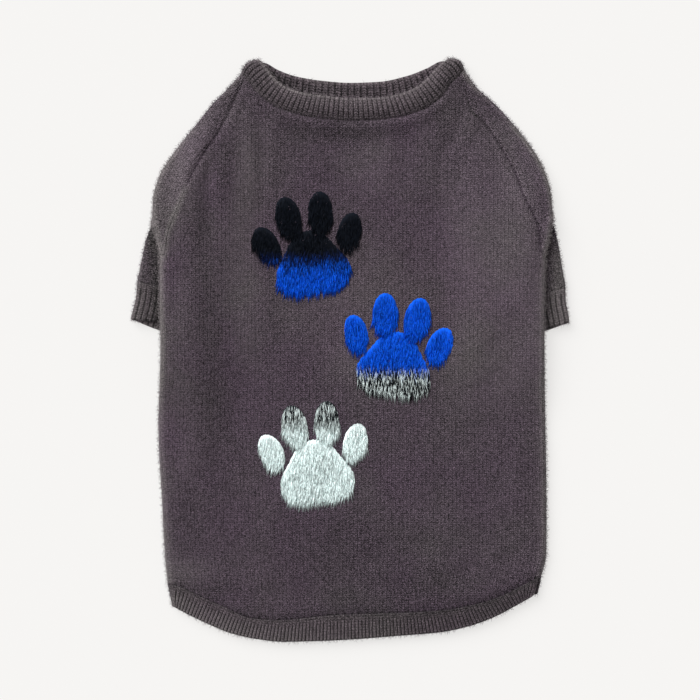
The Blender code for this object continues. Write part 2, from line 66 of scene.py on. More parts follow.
# the cut, as tables with a named column for each size
bodyEdge = {
    "y": (60, 30, 0, -50, -100, -130, -150),
    "left": (121.3, 121.4, 121, 122.9, 120.4, 118.9, 117),
    "right": (124.9, 124.2, 124.2, 125.4, 126.1, 126, 121.6),
}
cap = {
    "left": capTable(
        y=(176, 167, 155, 141, 125, 109, 95, 83, 76, 68, 60),
        slope=(1.04, 0.5, 0.2),
        seam=(66.6, 71.8, 76.8, 83, 93.6, 101.8, 107.2, 112.4, 115.4, 117, 117.7),
        fold=(70, 78, 89.6, 100.6, 113.2, 122.6, 126.1, 126.6, 125.2, 123, 121.3),
        edgeEnd=(129, 131.5, 133.1),
        pleatEnd=(117, 103, 89.4),
        chest=(62.5, 63.5, 65.5, 68.5, 72, 75.5, 79, 82, 84, 86, 88),
    ),
    "right": capTable(
        y=(178.4, 168, 155, 141, 125, 111, 98, 86, 78, 69, 60),
        slope=(1.3, 0.5, 0.2),
        seam=(69.8, 74.2, 78.2, 88.4, 98.6, 105.8, 110.2, 116.4, 119.6, 120.8, 121.3),
        fold=(73.4, 80.6, 94.6, 107, 118.8, 125.6, 128.8, 129.8, 128.8, 127.2, 124.9),
        edgeEnd=(131.6, 133.4, 134.9),
        pleatEnd=(119, 103, 89.4),
        chest=(65.5, 66.5, 68, 71, 74, 76.5, 79.5, 82, 84, 86, 88),
    ),
}
tube = {
    "left": {
        "outerX": (133.1, 134.8, 136.4, 137, 138.7, 140.8),
        "outerY": (60, 51.3, 42.8, 34.5, 26.5, 18.8),
        "innerX": (88.2, 88.6, 89.4, 90.6, 92, 93.8),
        "innerY": (60, 46, 33, 24.5, 16, 8.5),
        "spread": (0, 0, 0, 0.4, 1.5, 3),
    },
    "right": {
        "outerX": (134.9, 136.6, 138.2, 138.2, 139.5, 140.8),
        "outerY": (60, 49.5, 39, 32, 24.5, 16.8),
        "innerX": (88.2, 88.8, 90, 91.4, 93, 95),
        "innerY": (60, 42.5, 26.5, 18.5, 10.5, 2.5),
        "spread": (0, 0, 0, 0.1, 0.3, 0.6),
    },
}
cuffFrom, cuffTo = 2, 5  # the columns of those tables that the cuff runs between
neckBack = {
    "seamX": (-64, -57.5, -47, -33, -16, 0, 20, 37, 50, 59, 64.2),
    "seamY": (170, 162.8, 155.2, 150.6, 147.6, 146.4, 147.1, 150.2, 155.6, 162.4, 169.6),
    "rimX": (-53.4, -48.4, -40.2, -28.4, -14, 0, 17.5, 31.5, 42.5, 50, 55.4),
    "rimY": (179, 172.6, 166.8, 163.2, 161.3, 159.9, 160.3, 162.7, 167.1, 173.2, 179),
}
neckChest = {
    "seamX": (-52, -38, -20, 0, 20, 40, 56),
    "seamY": (164, 159.6, 157, 156.3, 157.2, 160.4, 165.6),
    "rimX": (-46.5, -35.5, -19, 0, 19, 36.5, 49.5),
    "rimY": (178.8, 174.8, 171.9, 170.4, 171.1, 174.8, 179.8),
}
neckEnds = {  # where the side folds and the raglan seams end on the neck's rim
    "fold": {"left": (58, 184.4), "right": (63, 185.2)},
    "seam": {"left": (56.2, 182.9), "right": (60.6, 183.4)},
    "chest": {"left": (54.4, 183), "right": (58.4, 184)},
}
hemBack = {
    "seamX": (-116, -108, -95, -80, -63, -45, -20, 0, 30, 60, 80, 97, 110, 122),
    "seamY": (
        -150.4, -152.9, -159, -165.6, -172.6, -173.8, -171.4,
        -170, -169.2, -167.5, -163.7, -158.4, -152, -145.8,
    ),
    "rimX": (-112.6, -104, -90.5, -76, -60, -43, -19, 0, 29, 57.5, 75.5, 92, 106, 119),
    "rimY": (
        -164.6, -169.3, -175.8, -181.6, -185.2, -187.06, -186.6,
        -185.7, -183.4, -181, -177.2, -171.2, -163.8, -156.4,
    ),
}
hemChest = {
    "seamX": (-116, -100, -75, -40, 0, 40, 80, 105, 122),
    "seamY": (-150.4, -142, -129, -117, -113, -116, -129, -139.5, -145.8),
    "rimX": (-112.6, -96, -72, -38.5, 0, 38.5, 77, 101, 119),
    "rimY": (-164.6, -156, -142.5, -130.5, -126.5, -129.5, -142.5, -152.5, -156.4),
}
hemFan = {  # how far the hem's ribs fan outwards, at each place along its seam
    "seamX": (0, 25, 60, 85, 100, 108, 113, 117, 122),
    "out": (0, 0.8, 3.4, 5.2, 4.6, 2.6, -0.6, -3.4, -3.2),
}

# soft creases: start, end, bow to the left, half width, height
creaseFade = (-0.28, 0.3)  # shares of its length between which a crease rises
backCreases = (
    (-84, 164, -106, 92, -3, 12, 1.7),
    (-105, 108, -101, 14, 2, 14, 1.8),
    (-100, 30, -97, -66, 0, 14, 1),
    (-80, 154, -90, 70, -4, 9, -1.45),
    (-67, 152, -62, 98, 1, 7, 0.9),
    (-49, 148, -50, 100, 0, 6, 0.7),
    (-57, 150, -56, 104, 0, 6, -0.5),
    (-78, 30, -76, -104, -4, 15, -0.9),
    (76, 168, 60, 122, 3, 9, -1.2),
    (86, 156, 62, 112, -3, 9, 0.9),
    (26, 144, 22, 96, 1, 9, 0.7),
    (113, 124, 113, 14, 3, 27, 1.6),
    (110, 40, 58, -10, 5, 11, 1.3),
    (114, 12, 70, -32, 6, 11, -0.8),
    (-112, -128, -84, -150, -4, 9, 1.2),
    (-60, -152, -24, -148, 3, 9, 0.9),
    (-16, -160, -34, -146, 2, 7, -1.1),
    (84, -130, 60, -148, 3, 9, -1.1),
    (104, -122, 76, -104, -4, 12, 0.9),
    (20, -132, 52, -150, 3, 11, 0.8),
    (-30, -120, 34, -134, -4, 13, -0.7),
    (-104, -60, -88, -112, 3, 11, 0.8),
    (112, -40, 108, -104, -3, 10, 0.8),
    (-6, 132, 4, 104, 2, 10, -0.6),
)
chestCreases = (
    (-60, 40, -40, -60, 6, 14, 0.35),
    (20, 110, 44, 20, -5, 16, 0.35),
    (-10, -10, 30, -84, 6, 15, 0.3),
    (-58, 130, -36, 80, 4, 12, 0.3),
)
bodyWaves = (  # gentle unevenness all over: pitch across and along the body, turn and height
    (61, 143, 0.4, 0.16), (-37, 88, 2.1, 0.13), (27, -52, 4, 0.08),
    (110, -31, 1.2, 0.08), (19, 41, 5.1, 0.05),
)


def ease(start, end, value):
    share = np.clip((value - start) / (end - start), 0.0, 1.0)
    return share * share * (3.0 - 2.0 * share)


def smooth(knots, values, places):
    # a cubic through the knots that doesn't overshoot between them
    knots, values = np.asarray(knots, float), np.asarray(values, float).T
    if knots[0] > knots[-1]:
        knots, values = knots[::-1], values[..., ::-1]
    places, steps = np.clip(places, knots[0], knots[-1]), np.diff(knots)
    slopes = np.diff(values) / steps
    tangents = np.concatenate((slopes[..., :1], 0 * slopes[..., 1:], slopes[..., -1:]), -1)
    before, after = slopes[..., :-1], slopes[..., 1:]
    agree = before * after > 0
    tangents[..., 1:-1][agree] = 2.0 / (1.0 / before[agree] + 1.0 / after[agree])
    i = np.clip(np.searchsorted(knots, places, side="right") - 1, 0, len(steps) - 1)
    t = (places - knots[i]) / steps[i]
    level = values[..., i] * (1 + 2 * t) * (1 - t) ** 2 + values[..., i + 1] * t * t * (3 - 2 * t)
    line = level + steps[i] * t * (1 - t) * (tangents[..., i] * (1 - t) - tangents[..., i + 1] * t)
    return line if values.ndim == 1 else np.moveaxis(line, 0, -1)


def read(table, column, places):
    return smooth(next(iter(table.values())), table[column], places)


def bySide(x, makeSide):
    return np.where(x < 0, makeSide("left"), makeSide("right"))


def unit(vectors):
    return vectors / np.linalg.norm(vectors, axis=-1, keepdims=True)


def lengths(points):
    return np.concatenate(([0.0], np.cumsum(np.linalg.norm(np.diff(points, axis=0), axis=-1))))


def evenly(points, count):
    places = lengths(points)
    wanted = np.linspace(0.0, places[-1], count)
    return np.stack([np.interp(wanted, places, column) for column in points.T], -1)


def nearLine(x, y, line):
    # how far points are from a line, and where along it
    points, best, where = np.stack((x, y), -1), np.full(np.shape(x), 1e9), 0.0
    for start, run, place in zip(line, np.diff(line, axis=0), lengths(line)):
        length = np.linalg.norm(run)
        share = np.clip((points - start) @ run / length**2, 0, 1)
        distance = np.linalg.norm(points - start - share[..., None] * run, axis=-1)
        where = np.where(distance < best, place + share * length, where)
        best = np.minimum(best, distance)
    return best, where


def turnedHeight(x, y, share=1.0):
    length = ease(levelY, cuffClearY, y) * ease(shoulderTopY, shoulderY, y)
    return floorLevel + (turnedLevel - floorLevel) * length * ease(rampIn, rampOut, abs(x)) * share


def chestHeight(x, y):
    over = ease(underarmY, underarmY - underarmRise, y)
    return turnedHeight(x, y, over) + np.maximum(creaseHeight(x, y, chestCreases), 0)


def creaseHeight(x, y, creases):
    height = 0.0
    for x0, y0, x1, y1, bow, halfWidth, peak in creases:
        length = math.hypot(x1 - x0, y1 - y0)
        runX, runY = (x1 - x0) / length, (y1 - y0) / length
        share = ((x - x0) * runX + (y - y0) * runY) / length
        aside = (y - y0) * runX - (x - x0) * runY - bow * 4 * share * (1 - share)
        ends = ease(*creaseFade, share) * ease(*creaseFade, 1 - share)
        height = height + peak * ends * ease(halfWidth, 0, abs(aside))
    return height


def waves(x, y):
    return sum(
        high * np.sin(2 * math.pi * (x / wide + y / long) + turn) for wide, long, turn, high in bodyWaves
    )


def foldDistance(x, y):
    def edge(side):
        return np.where(y < underarmY, read(bodyEdge, side, y), read(cap[side], "fold", y))

    return bySide(x, edge) - abs(x)


def capPlace(side, y, column, gap=0.0):
    # where a sleeve section has one of its named places
    x = read(cap[side], column, y) + gap
    tip = read(cap[side], "edge", y) - wall / 2
    return np.stack((signs[side] * x, y - read(cap[side], "slope", y) * (tip - x)), -1)


def raglanLine(side, column, gap=0.0, count=90):
    return capPlace(side, np.linspace(cap[side]["y"][0], underarmY, count), column, gap)


neckLine = np.stack((neckBack["seamX"], neckBack["seamY"]), -1)
hemLine = np.stack((hemBack["seamX"], hemBack["seamY"]), -1)
raglans = {side: raglanLine(side, "seam") for side in signs}
seamLines = {
    "raglanLeft": raglans["left"],
    "raglanRight": raglans["right"],
    "neck": np.concatenate((raglans["left"][:1], neckLine, raglans["right"][:1])),
    "hem": hemLine,
}
seamLook = {  # dip and its half width, pucker and its pitch, welt and its place, how much painted shade lies along the dip
    "raglanLeft": (0.75, 2.0, 0.8, 5.6, 0.5, 3.2, 0.6),
    "raglanRight": (0.5, 1.9, 0.8, 6.4, 0.4, 3.2, 0.62),
    "neck": (0.8, 2.6, 0.45, 3.3, 1.8, 3.6, 0.35),
    "hem": (1.1, 3.0, 0.8, 4.5, 0.9, 7.0, 0.6),
}
# the left raglan seam rides on a ridge low down, with a painted highlight along it
seamRidge = {"levels": (98, 110), "rise": 0.6, "wider": 1.6, "paler": 0.65, "palerWidth": 3.2}
raglanFade, neckFade = (174, 162), (68, 58)  # seams fade out at the neck's corners


def seamState(name, x, y):
    # how much of a seam lies in its dip, and how much shows
    held = ease(*seamRidge["levels"], y) if name == "raglanLeft" else 1.0
    if name == "hem":
        return held, 1.0
    return held, ease(*neckFade, abs(x)) if name == "neck" else ease(*raglanFade, y)


def seamHeight(x, y):
    height = 0.0
    for name, (dip, dipWidth, pucker, pitch, welt, weltAt, _) in seamLook.items():
        away, place = nearLine(x, y, seamLines[name])
        held, shown = seamState(name, x, y)
        turn = 2 * math.pi * place / pitch + 1.7 * np.sin(place / 13.0)
        uneven = 1 + pucker * np.sin(turn) * np.sin(place / 17.0 + 0.8)
        depth = dip * uneven * held * shown - seamRidge["rise"] * (1 - held)
        height = height - depth * ease(dipWidth + seamRidge["wider"] * (1 - held), 0, away)
        height = height + welt * ease(0, weltAt, away) * ease(3.2 * weltAt, weltAt, away) * held * shown
    return height


shoulder = {
    "drop": 2.2, "width": 22,
    "low": (underarmY + 12, underarmY + 34), "high": (shoulderTopY + 4, shoulderTopY - 30),
}
softFrom = 12  # creases fade out this near the side folds


def backHeight(x, y, seams=True):
    away = foldDistance(x, y)
    soft = (creaseHeight(x, y, backCreases) + waves(x, y)) * ease(0, softFrom, away)
    drop = shoulder["drop"] * ease(shoulder["width"], 0, away)
    drop = drop * ease(*shoulder["low"], y) * ease(*shoulder["high"], y)
    return turnedHeight(x, y) + backOver + soft - drop + (seamHeight(x, y) if seams else 0)


paintedLightAndWearPatches = (  # paler or darker yarn, partly wear and partly painted light and painted shade: middle, half sizes and amount
    (-108, 120, 26, 44, 0.8),
    (-114, -16, 16, 110, 0.18),
    (-84, 150, 16, 20, 0.28),
    (-95, 92, 16, 52, -0.15),
    (-69, 52, 16, 106, 0.6),
    (18, 124, 34, 30, 0.3),
    (-118, 76, 10, 26, 0.3),
    (4, 30, 50, 44, 0.35),
    (0, -8, 24, 18, 0.3),
    (98, 140, 13, 15, 0.3),
    (116, 20, 14, 28, 0.25),
    (-88, 120, 7, 30, 0.1),
    (-102, -112, 14, 34, -0.12),
    (6, -160, 46, 11, -0.18),
    (48, 140, 9, 13, 0.25),
    (-81, 118, 9, 34, -0.35),
    (-80, -20, 18, 90, -0.2),
    (98, 66, 48, 76, 0.55),
    (112, 112, 18, 34, 0.35),
    (58, 144, 12, 26, -0.12),
    (-58, 124, 18, 34, 0.15),
    (12, 108, 24, 20, 0.1),
    (96, -16, 42, 34, 0.45),
    (-104, -142, 24, 12, 0.35),
    (92, -148, 24, 14, -0.06),
    (0, -130, 60, 30, -0.25),
    (-84, -152, 34, 9, -0.12),
    (52, -152, 34, 14, -0.3),
    (0, 138, 52, 10, -0.4),
)
paintedFoldHighlight = {  # painted highlight along the side folds, for the light their rounded edges and fuzz catch
    "y": (190, 121, 95, 70, 56, 38, 6, -33, -71, -109, -150),
    "left": (0.4, 0.4, 0.6, 1.15, 1.15, 1.0, 0.75, 0.6, 0.45, 0.4, 0.5),
    "right": (1.0, 1.3, 1.2, 1.1, 0.75, 0.6, 0.6, 0.6, 0.5, 0.65, 0.8),
}


# paler or darker yarn at each point, partly wear and partly painted light and shade: patches, painted
# highlights by the side folds, painted shade along the seams
def paintedLightAndWearAt(x, y, edge=0.5):
    fold, amount = foldDistance(x, y), 0.0
    for middleX, middleY, wide, high, paler in paintedLightAndWearPatches:
        amount = amount + paler * ease(1.25, 0.1, np.hypot((x - middleX) / wide, (y - middleY) / high))
    paintedLightAndWear = bySide(x, lambda side: read(paintedFoldHighlight, side, y))
    # painted highlight near the side folds, stronger over their last 5 mm
    amount = amount + edge * ease(9, 0, fold) + paintedLightAndWear * ease(5, 1, fold)
    for name, line in seamLines.items():
        away, place = nearLine(x, y, line)
        held, shown = seamState(name, x, y)
        uneven = 1 + 0.35 * np.sin(place / 1.9) + 0.25 * np.sin(place / 4.3 + 2)
        # painted shade along each seam's dip
        amount = amount - seamLook[name][-1] * uneven * ease(1.5, 0.2, away) * held * shown
        # painted highlight along the left raglan's ridge, where the seam leaves its dip
        amount = amount + seamRidge["paler"] * ease(seamRidge["palerWidth"], 0.4, away) * (1 - held)
    return amount


def newObject(name, data):
    made = bpy.data.objects.new(name, data)
    bpy.context.collection.objects.link(made)
    return made


def newPiece(name, points, faces=(), edges=()):
    mesh = bpy.data.meshes.new(name)
    mesh.from_pydata(np.asarray(points) * mm, edges, faces, shade_flat=False)
    return newObject(name, mesh)


def addAttribute(piece, name, values):
    kind, field = ("FLOAT_VECTOR", "vector") if np.ndim(values) == 2 else ("FLOAT", "value")
    made = piece.data.attributes.new(name, kind, "POINT")
    made.data.foreach_set(field, np.asarray(values, np.float32).ravel())


def addMap(piece, name, places):
    piece.data.uv_layers.new(name=name).uv.foreach_set("vector", np.asarray(places, np.float32).ravel())


def gridQuads(rows, columns, closed):
    # faces by a grid's points and by its grain, which has a column more if closed
    r, c = np.meshgrid(np.arange(rows - 1), np.arange(columns if closed else columns - 1), indexing="ij")

    def quads(wide, right):
        corners = (r * wide + c, (r + 1) * wide + c, (r + 1) * wide + right, r * wide + right)
        return np.stack(corners, -1).reshape(-1, 4)

    return quads(columns, (c + 1) % columns), quads(columns + closed, c + 1)


def weldedGrids(grids):
    # grids on the middle surface, welded to one; full is how much relief shows, free is 1 at a free
    # rim, over is a grid that faces the other way
    points, quads, grains, start = [], [], [], 0
    fields = {"full": [], "free": [], "pale": [], "grey": []}
    for grid in grids:
        rows, columns = grid["points"].shape[:2]
        both, turn = gridQuads(rows, columns, grid.get("closed", False)), -1 if grid.get("over") else 1
        points.append(grid["points"].reshape(-1, 3))
        quads.append(both[0][:, ::turn] + start)
        grains.append(grid["grain"].reshape(-1, 2)[both[1][:, ::turn]])
        for field, values in fields.items():
            values.append(np.broadcast_to(grid.get(field, 0.0), (rows, columns)).ravel())
        start += rows * columns
    points, quads, grains = (np.concatenate(rows) for rows in (points, quads, grains))
    _, first, weld = np.unique(np.round(points, 3), axis=0, return_index=True, return_inverse=True)
    fields = {field: np.concatenate(values)[first] for field, values in fields.items()}
    return points[first], weld.ravel()[quads], grains, fields


def borderOf(quads, grains, count):
    # the edges with one face, by their two points and the grain there
    ends, endGrains = (np.stack((rows, np.roll(rows, -1, 1)), 2) for rows in (quads, grains))
    ends, endGrains = ends.reshape(-1, 2), endGrains.reshape(-1, 2, 2)
    lone = ~np.isin(ends @ (count, 1), ends @ (1, count))
    return ends[lone], endGrains[lone]


def clothMesh(name, grids, rimSteps=4, sewnBulge=0.08):
    # thickens the welded grids to a closed wall
    points, quads, grains, fields = weldedGrids(grids)
    count, corner, facing = len(points), points[quads], np.zeros_like(points)
    for k in range(4):
        np.add.at(facing, quads[:, k], np.cross(corner[:, 2] - corner[:, 0], corner[:, 3] - corner[:, 1]))
    facing = unit(facing)
    ends, endGrains = borderOf(quads, grains, count)
    border, aside = np.unique(ends), np.zeros_like(points)
    for k in range(2):
        np.add.at(aside, ends[:, k], np.cross(points[ends[:, 1]] - points[ends[:, 0]], facing[ends].sum(1)))
    order = np.full(count, -1)
    order[border] = np.arange(len(border))
    # the outer face, the inner one, and rings round the border that bulge at a free rim
    thick, free = facing * wall / 2, fields.pop("free")
    bulge = unit(aside[border]) * (wall / 2) * (sewnBulge + (1 - sewnBulge) * free[border])[:, None]
    places, numbers = [points + thick, points - thick], [np.arange(count)]
    for k in range(1, rimSteps):
        angle = math.pi * k / rimSteps
        places.append(points[border] + thick[border] * math.cos(angle) + bulge * math.sin(angle))
        numbers.append(2 * count + (k - 1) * len(border) + order)
    numbers.append(count + np.arange(count))
    faces, faceGrains = [quads, quads[:, ::-1] + count], [grains, grains[:, ::-1]]
    a, b = ends.T
    for upper, lower in zip(numbers, numbers[1:]):
        faces.append(np.stack((upper[b], upper[a], lower[a], lower[b]), -1))
        faceGrains.append(endGrains[:, (1, 0, 0, 1)])
    source = np.concatenate([np.arange(count)] * 2 + [border] * (rimSteps - 1))
    outside = np.repeat((1.0, 0.0, 0.5), (count, count, len(source) - 2 * count))
    across = np.zeros(count)
    across[quads.ravel()] = grains.reshape(-1, 2)[:, 0]
    piece = newPiece(name, np.concatenate(places), np.concatenate(faces))
    addMap(piece, "knitGrain", np.concatenate(faceGrains))
    for label, values in {**fields, "across": across, "facing": facing}.items():
        addAttribute(piece, label, values[source])
    addAttribute(piece, "outside", outside)
    addAttribute(piece, "fuzz", np.where(outside == 0.5, free[source], outside))
    return piece


# body panels

bodyKnit = {
    "wale": 2.3, "course": 1.42, "columnsPerWale": 3, "backRows": 94, "chestRows": 48, "unevenness": 0.5,
}
columnStep = bodyKnit["wale"] / bodyKnit["columnsPerWale"]
seamFlat, seamReach = 4.0, 0.15  # relief fades out this near a seam, columns go with it this near


def knitGrain(across, down):
    return np.stack(np.broadcast_arrays(across, down / bodyKnit["course"]), -1)


def denseEnds(count, pull=0.55):
    # shares from 0 to 1, closer together at both ends
    t = np.linspace(0.0, 1.0, count)
    return t - pull * np.sin(2 * math.pi * t) / (2 * math.pi)


def neckSide(table, column):
    # a panel's neckline, clear of the band
    path = bandPath(table, column)[1:-1]
    places = lengths(path[:, :2])
    line = smooth(places, path, np.linspace(0, places[-1], 60))
    return line[:, :2] + unit(line[:, :2] - line[:, 2:]) * bandGap


def panelTop(x, table, column):
    # the level at which a wale meets the raglan seams or the neckline
    left, right = (raglanLine(side, column, -seamGap / 2) for side in signs)
    line = np.concatenate((left[::-1], neckSide(table, column)[2:-2], right))
    return np.interp(x, *line[np.argsort(line[:, 0])].T)


def stations(step, turnedSpan, flatSpan, foldSteps, chestSpan=0):
    # right round the body, and over the chest in a ring
    turned, flat, chest = (np.linspace(0, 1, int(span / step)) for span in (turnedSpan, flatSpan, chestSpan))
    fold = np.linspace(-1, 1, foldSteps)
    runs = (
        ("turned", -1, turned), ("fold", -1, fold[1:]), ("flat", -1, flat[-2:0:-1]),
        ("flat", 1, flat[:-1]), ("fold", 1, -fold), ("turned", 1, turned[-2::-1]),
        ("chest", 1, chest[-2:0:-1]), ("chest", -1, chest[:-1]),
    )
    layers, sign, value = zip(*((layer, side, share) for layer, side, shares in runs for share in shares))
    return np.array(layers), np.array(sign, float), np.array(value)


def bodyPlan(layers, sign, value, y):
    # where each station is at level y, and its fold's tip
    tip = bySide(sign, lambda side: read(bodyEdge, side, np.minimum(y, underarmY))) - wall / 2
    inner, end = underarmX + seamGap / 2, tip - foldRadius
    fold = tip - foldRadius * (1 - np.cos(value * math.pi / 2))
    places = [inner + value * (end - inner), fold, value * inner + 0 * y]
    chosen = [layers == name for name in ("turned", "fold", "chest")]
    return sign * np.select(chosen, places, value * end), tip


def hemCrossing(layers, sign, value, gap, ownFolds=True, rounds=6):
    # the level at which each station meets the hem seam
    y = np.full(len(sign), levelY)
    for _ in range(rounds):
        x, tip = bodyPlan(layers, sign, value, y)
        y = np.where(layers == "flat", read(hemBack, "seamY", x), read(hemChest, "seamY", x))
        tip = tip if ownFolds else bodyPlan(layers, sign, value, y)[1]
        y = np.where(layers == "fold", read(hemBack, "seamY", sign * tip), y)
    return y + gap


def backGrid():
    layers, sign, value = stations(columnStep, turnedSpan=30, flatSpan=118, foldSteps=9)
    flat = layers == "flat"
    low = hemCrossing(layers, sign, value, bandGap / 2, ownFolds=False)
    top, _ = bodyPlan(layers, sign, value, np.full(len(sign), underarmY))
    high = np.where(flat, panelTop(top, neckBack, "seam"), underarmY - pleatGap)
    beside = abs(top) > bySide(sign, lambda side: cap[side]["seam"][-1]) - seamReach
    high = np.where(flat & beside, underarmY, high)
    y = high + (low - high) * denseEnds(bodyKnit["backRows"])[:, None]
    x, tip = bodyPlan(layers, sign, value, y)
    fold = turnedHeight(sign * tip, y) + backOver / 2 + foldRadius * np.sin(value * math.pi / 2)
    z = np.select([flat, layers == "fold"], [backHeight(x, y), fold], turnedHeight(x, y))
    middle = np.argmin(np.where(flat, abs(top), np.inf))
    return {
        "points": np.stack((x, y, z), -1),
        "grain": knitGrain((np.arange(len(sign)) - middle) / bodyKnit["columnsPerWale"], y),
        "full": 0.25 + 0.75 * ease(0, seamFlat, np.minimum(high - y, y - low)),
        "pale": np.where(layers == "turned", 0.0, paintedLightAndWearAt(x, y)),
    }


def chestGrid():
    columns = int(2 * underarmX / columnStep)
    x = np.linspace(1, -1, columns) * (underarmX - seamGap / 2)
    high = panelTop(x, neckChest, "chest")
    high[[0, -1]] = underarmY
    low = read(hemChest, "seamY", x) + bandGap / 2
    y = high + (low - high) * denseEnds(bodyKnit["chestRows"])[:, None]
    return {
        "points": np.stack((np.broadcast_to(x, y.shape), y, chestHeight(x, y)), -1),
        "grain": knitGrain(np.arange(columns) / bodyKnit["columnsPerWale"], y),
        "full": 0.25 + 0.75 * ease(0, seamFlat, np.minimum(high - y, y - low)),
    }


# sleeves and cuffs

sleeveKnit = {"upperColumns": 61, "lowerColumns": 129, "rows": 78, "tubeRows": 15, "puff": 0.35, "grey": 0.5}
tubeOut = (120, 137)
tubePaintedShadeAndLight = {"left": (-0.85, 0.45), "right": (-0.5, 0.8)}  # painted shade beside the body and painted light far out
arcPoints, flatPoints, stripPoints, lowerPoints = 10, 8, 14, 24
# along a section: the pleat's end, a round section's fold and a pleated section's two
pleatEnd = stripPoints + 2 * arcPoints + flatPoints
roundFold = stripPoints + (3 * arcPoints + 2 * flatPoints) // 2 + 1
topFold = stripPoints + arcPoints / 2 + 0.5
ownFold = topFold + 2 * (arcPoints + flatPoints)


def arc(tip, inward, upperZ, lowerZ, steps, turn=1):
    # round a fold, without the first point
    radius = (upperZ - lowerZ) / 2
    angle = math.pi * np.arange(1, steps + 1) / steps
    reach = radius * (1 - np.sin(angle))
    level = (upperZ + lowerZ) / 2 + turn * radius * np.cos(angle)
    return np.stack((tip[0] + inward[0] * reach, tip[1] + inward[1] * reach, level), -1)


def straight(start, end, steps):
    return np.linspace(start, end, steps + 1)[1:]


def stripTo(seam, end):
    # the cloth on top between the raglan seam and a fold
    xy = np.linspace(seam, end[:2], stripPoints + 1)
    z = backHeight(*xy.T)
    return np.column_stack((xy, z + (end[2] - z[-1]) * np.linspace(0, 1, len(xy))))


def pleatShare(side, y):
    closed, opened = cap[side]["y"][-4:-2]
    return np.clip((closed - y) / (closed - opened), 0, 1)


def wayIn(side, y):
    return -unit(np.array((signs[side], float(read(cap[side], "slope", y)))))


def through(side, y, folds, corner=0.0):
    # folds: tip, way in, levels above and below, steps
    points = []
    for tip, inward, upperZ, lowerZ, steps in folds:
        start = np.append(tip + inward * (upperZ - lowerZ) / 2, upperZ)
        strip = stripTo if not points else lambda seam, end: straight(points[-1][-1], end, flatPoints)
        points.append(strip(capPlace(side, y, "seam", seamGap / 2), start))
        points.append(arc(tip, inward, upperZ, lowerZ, steps))
    chest = np.append(capPlace(side, y, "chest", seamGap / 2 + corner), floorLevel)
    return np.concatenate(points + [straight(points[-1][-1], chest, lowerPoints)])


def roundSection(side, y):
    tip = capPlace(side, y, "edge", -wall / 2)
    steps = 3 * arcPoints + 2 * flatPoints
    return through(side, y, [(tip, wayIn(side, y), float(backHeight(*tip)), floorLevel, steps)])


def pleatedSection(side, y):
    # the body's fold above, the pleat, and the sleeve's own fold below
    out = np.array((signs[side], 0.0))
    folds = (
        (capPlace(side, y, "fold", -wall / 2), -out, turnedLevel + backOver, turnedLevel, arcPoints),
        (capPlace(side, y, "pleat"), out, turnedLevel, sleeveLevel, arcPoints),
        (capPlace(side, y, "edge", -wall / 2), -out, sleeveLevel, floorLevel, arcPoints),
    )
    return through(side, y, folds, wall / 2 * ease(underarmY + 8, underarmY, y))


def capSection(side, y):
    share = pleatShare(side, y)
    if share in (0, 1):
        return (pleatedSection if share else roundSection)(side, y)
    points = roundSection(side, y) * (1 - share) + pleatedSection(side, y) * share
    reach = abs(points[:, 0])
    short = float(read(cap[side], "edge", y)) - wall / 2 - reach.max()
    points[:, 0] += signs[side] * short * ease(reach.max() - 9, reach.max() - 1, reach)
    return points


def tubeSection(side, row, gap=0.0):
    # once round the flat sleeve from its inner fold, and that fold
    columns = np.transpose(list(tube[side].values()))
    outerX, outerY, innerX, innerY, bow = smooth(range(len(columns)), columns, row)
    ends = ((outerX - wall / 2, outerY + gap), (innerX + wall / 2, innerY + gap))
    outer, inner = np.array(ends) * (signs[side], 1)
    across = unit(inner - outer)
    start, end = inner - across * foldRadius, outer + across * foldRadius
    upper = np.linspace(np.append(start, sleeveLevel), np.append(end, sleeveLevel), lowerPoints + 1)
    lower = straight(np.append(end, floorLevel), np.append(start, floorLevel), lowerPoints)
    bulge = np.sin(np.linspace(0, math.pi, len(upper)))
    upper[:, 1:] += bulge[:, None] * (bow, sleeveKnit["puff"])
    lower[:, 1] -= bow * bulge[1:]
    fold = arc(outer, across, sleeveLevel, floorLevel, arcPoints)
    back = arc(inner, -across, sleeveLevel, floorLevel, arcPoints, -1)[:-1]
    return np.concatenate((upper, fold, lower)), back


def walesOf(section, opened):
    # wales are counted from each layer's outer fold
    places, (middle, end) = lengths(section), (sleeveKnit["upperColumns"], sleeveKnit["lowerColumns"])
    folds = [roundFold + (fold - roundFold) * opened for fold in (topFold, ownFold)]
    top, under = np.interp(folds, np.arange(len(section)), places)
    lower = np.linspace(places[pleatEnd], places[-1], end)[1:]
    places = np.concatenate((np.linspace(0, places[pleatEnd], middle), lower))
    wales = np.where(places > under, places - under, np.minimum(places - top, under - places))
    return np.where(places < top, places - top, wales) / bodyKnit["wale"]


# painted shade beside the body and painted light far out, across the sleeve's flat tube
def paintedTubeShadeAndLight(side, points):
    near, far = tubePaintedShadeAndLight[side]
    return near + (far - near) * ease(*tubeOut, abs(points[:, :, 0]))


def ringLengths(ring):
    return lengths(np.append(ring, ring[:1], 0))


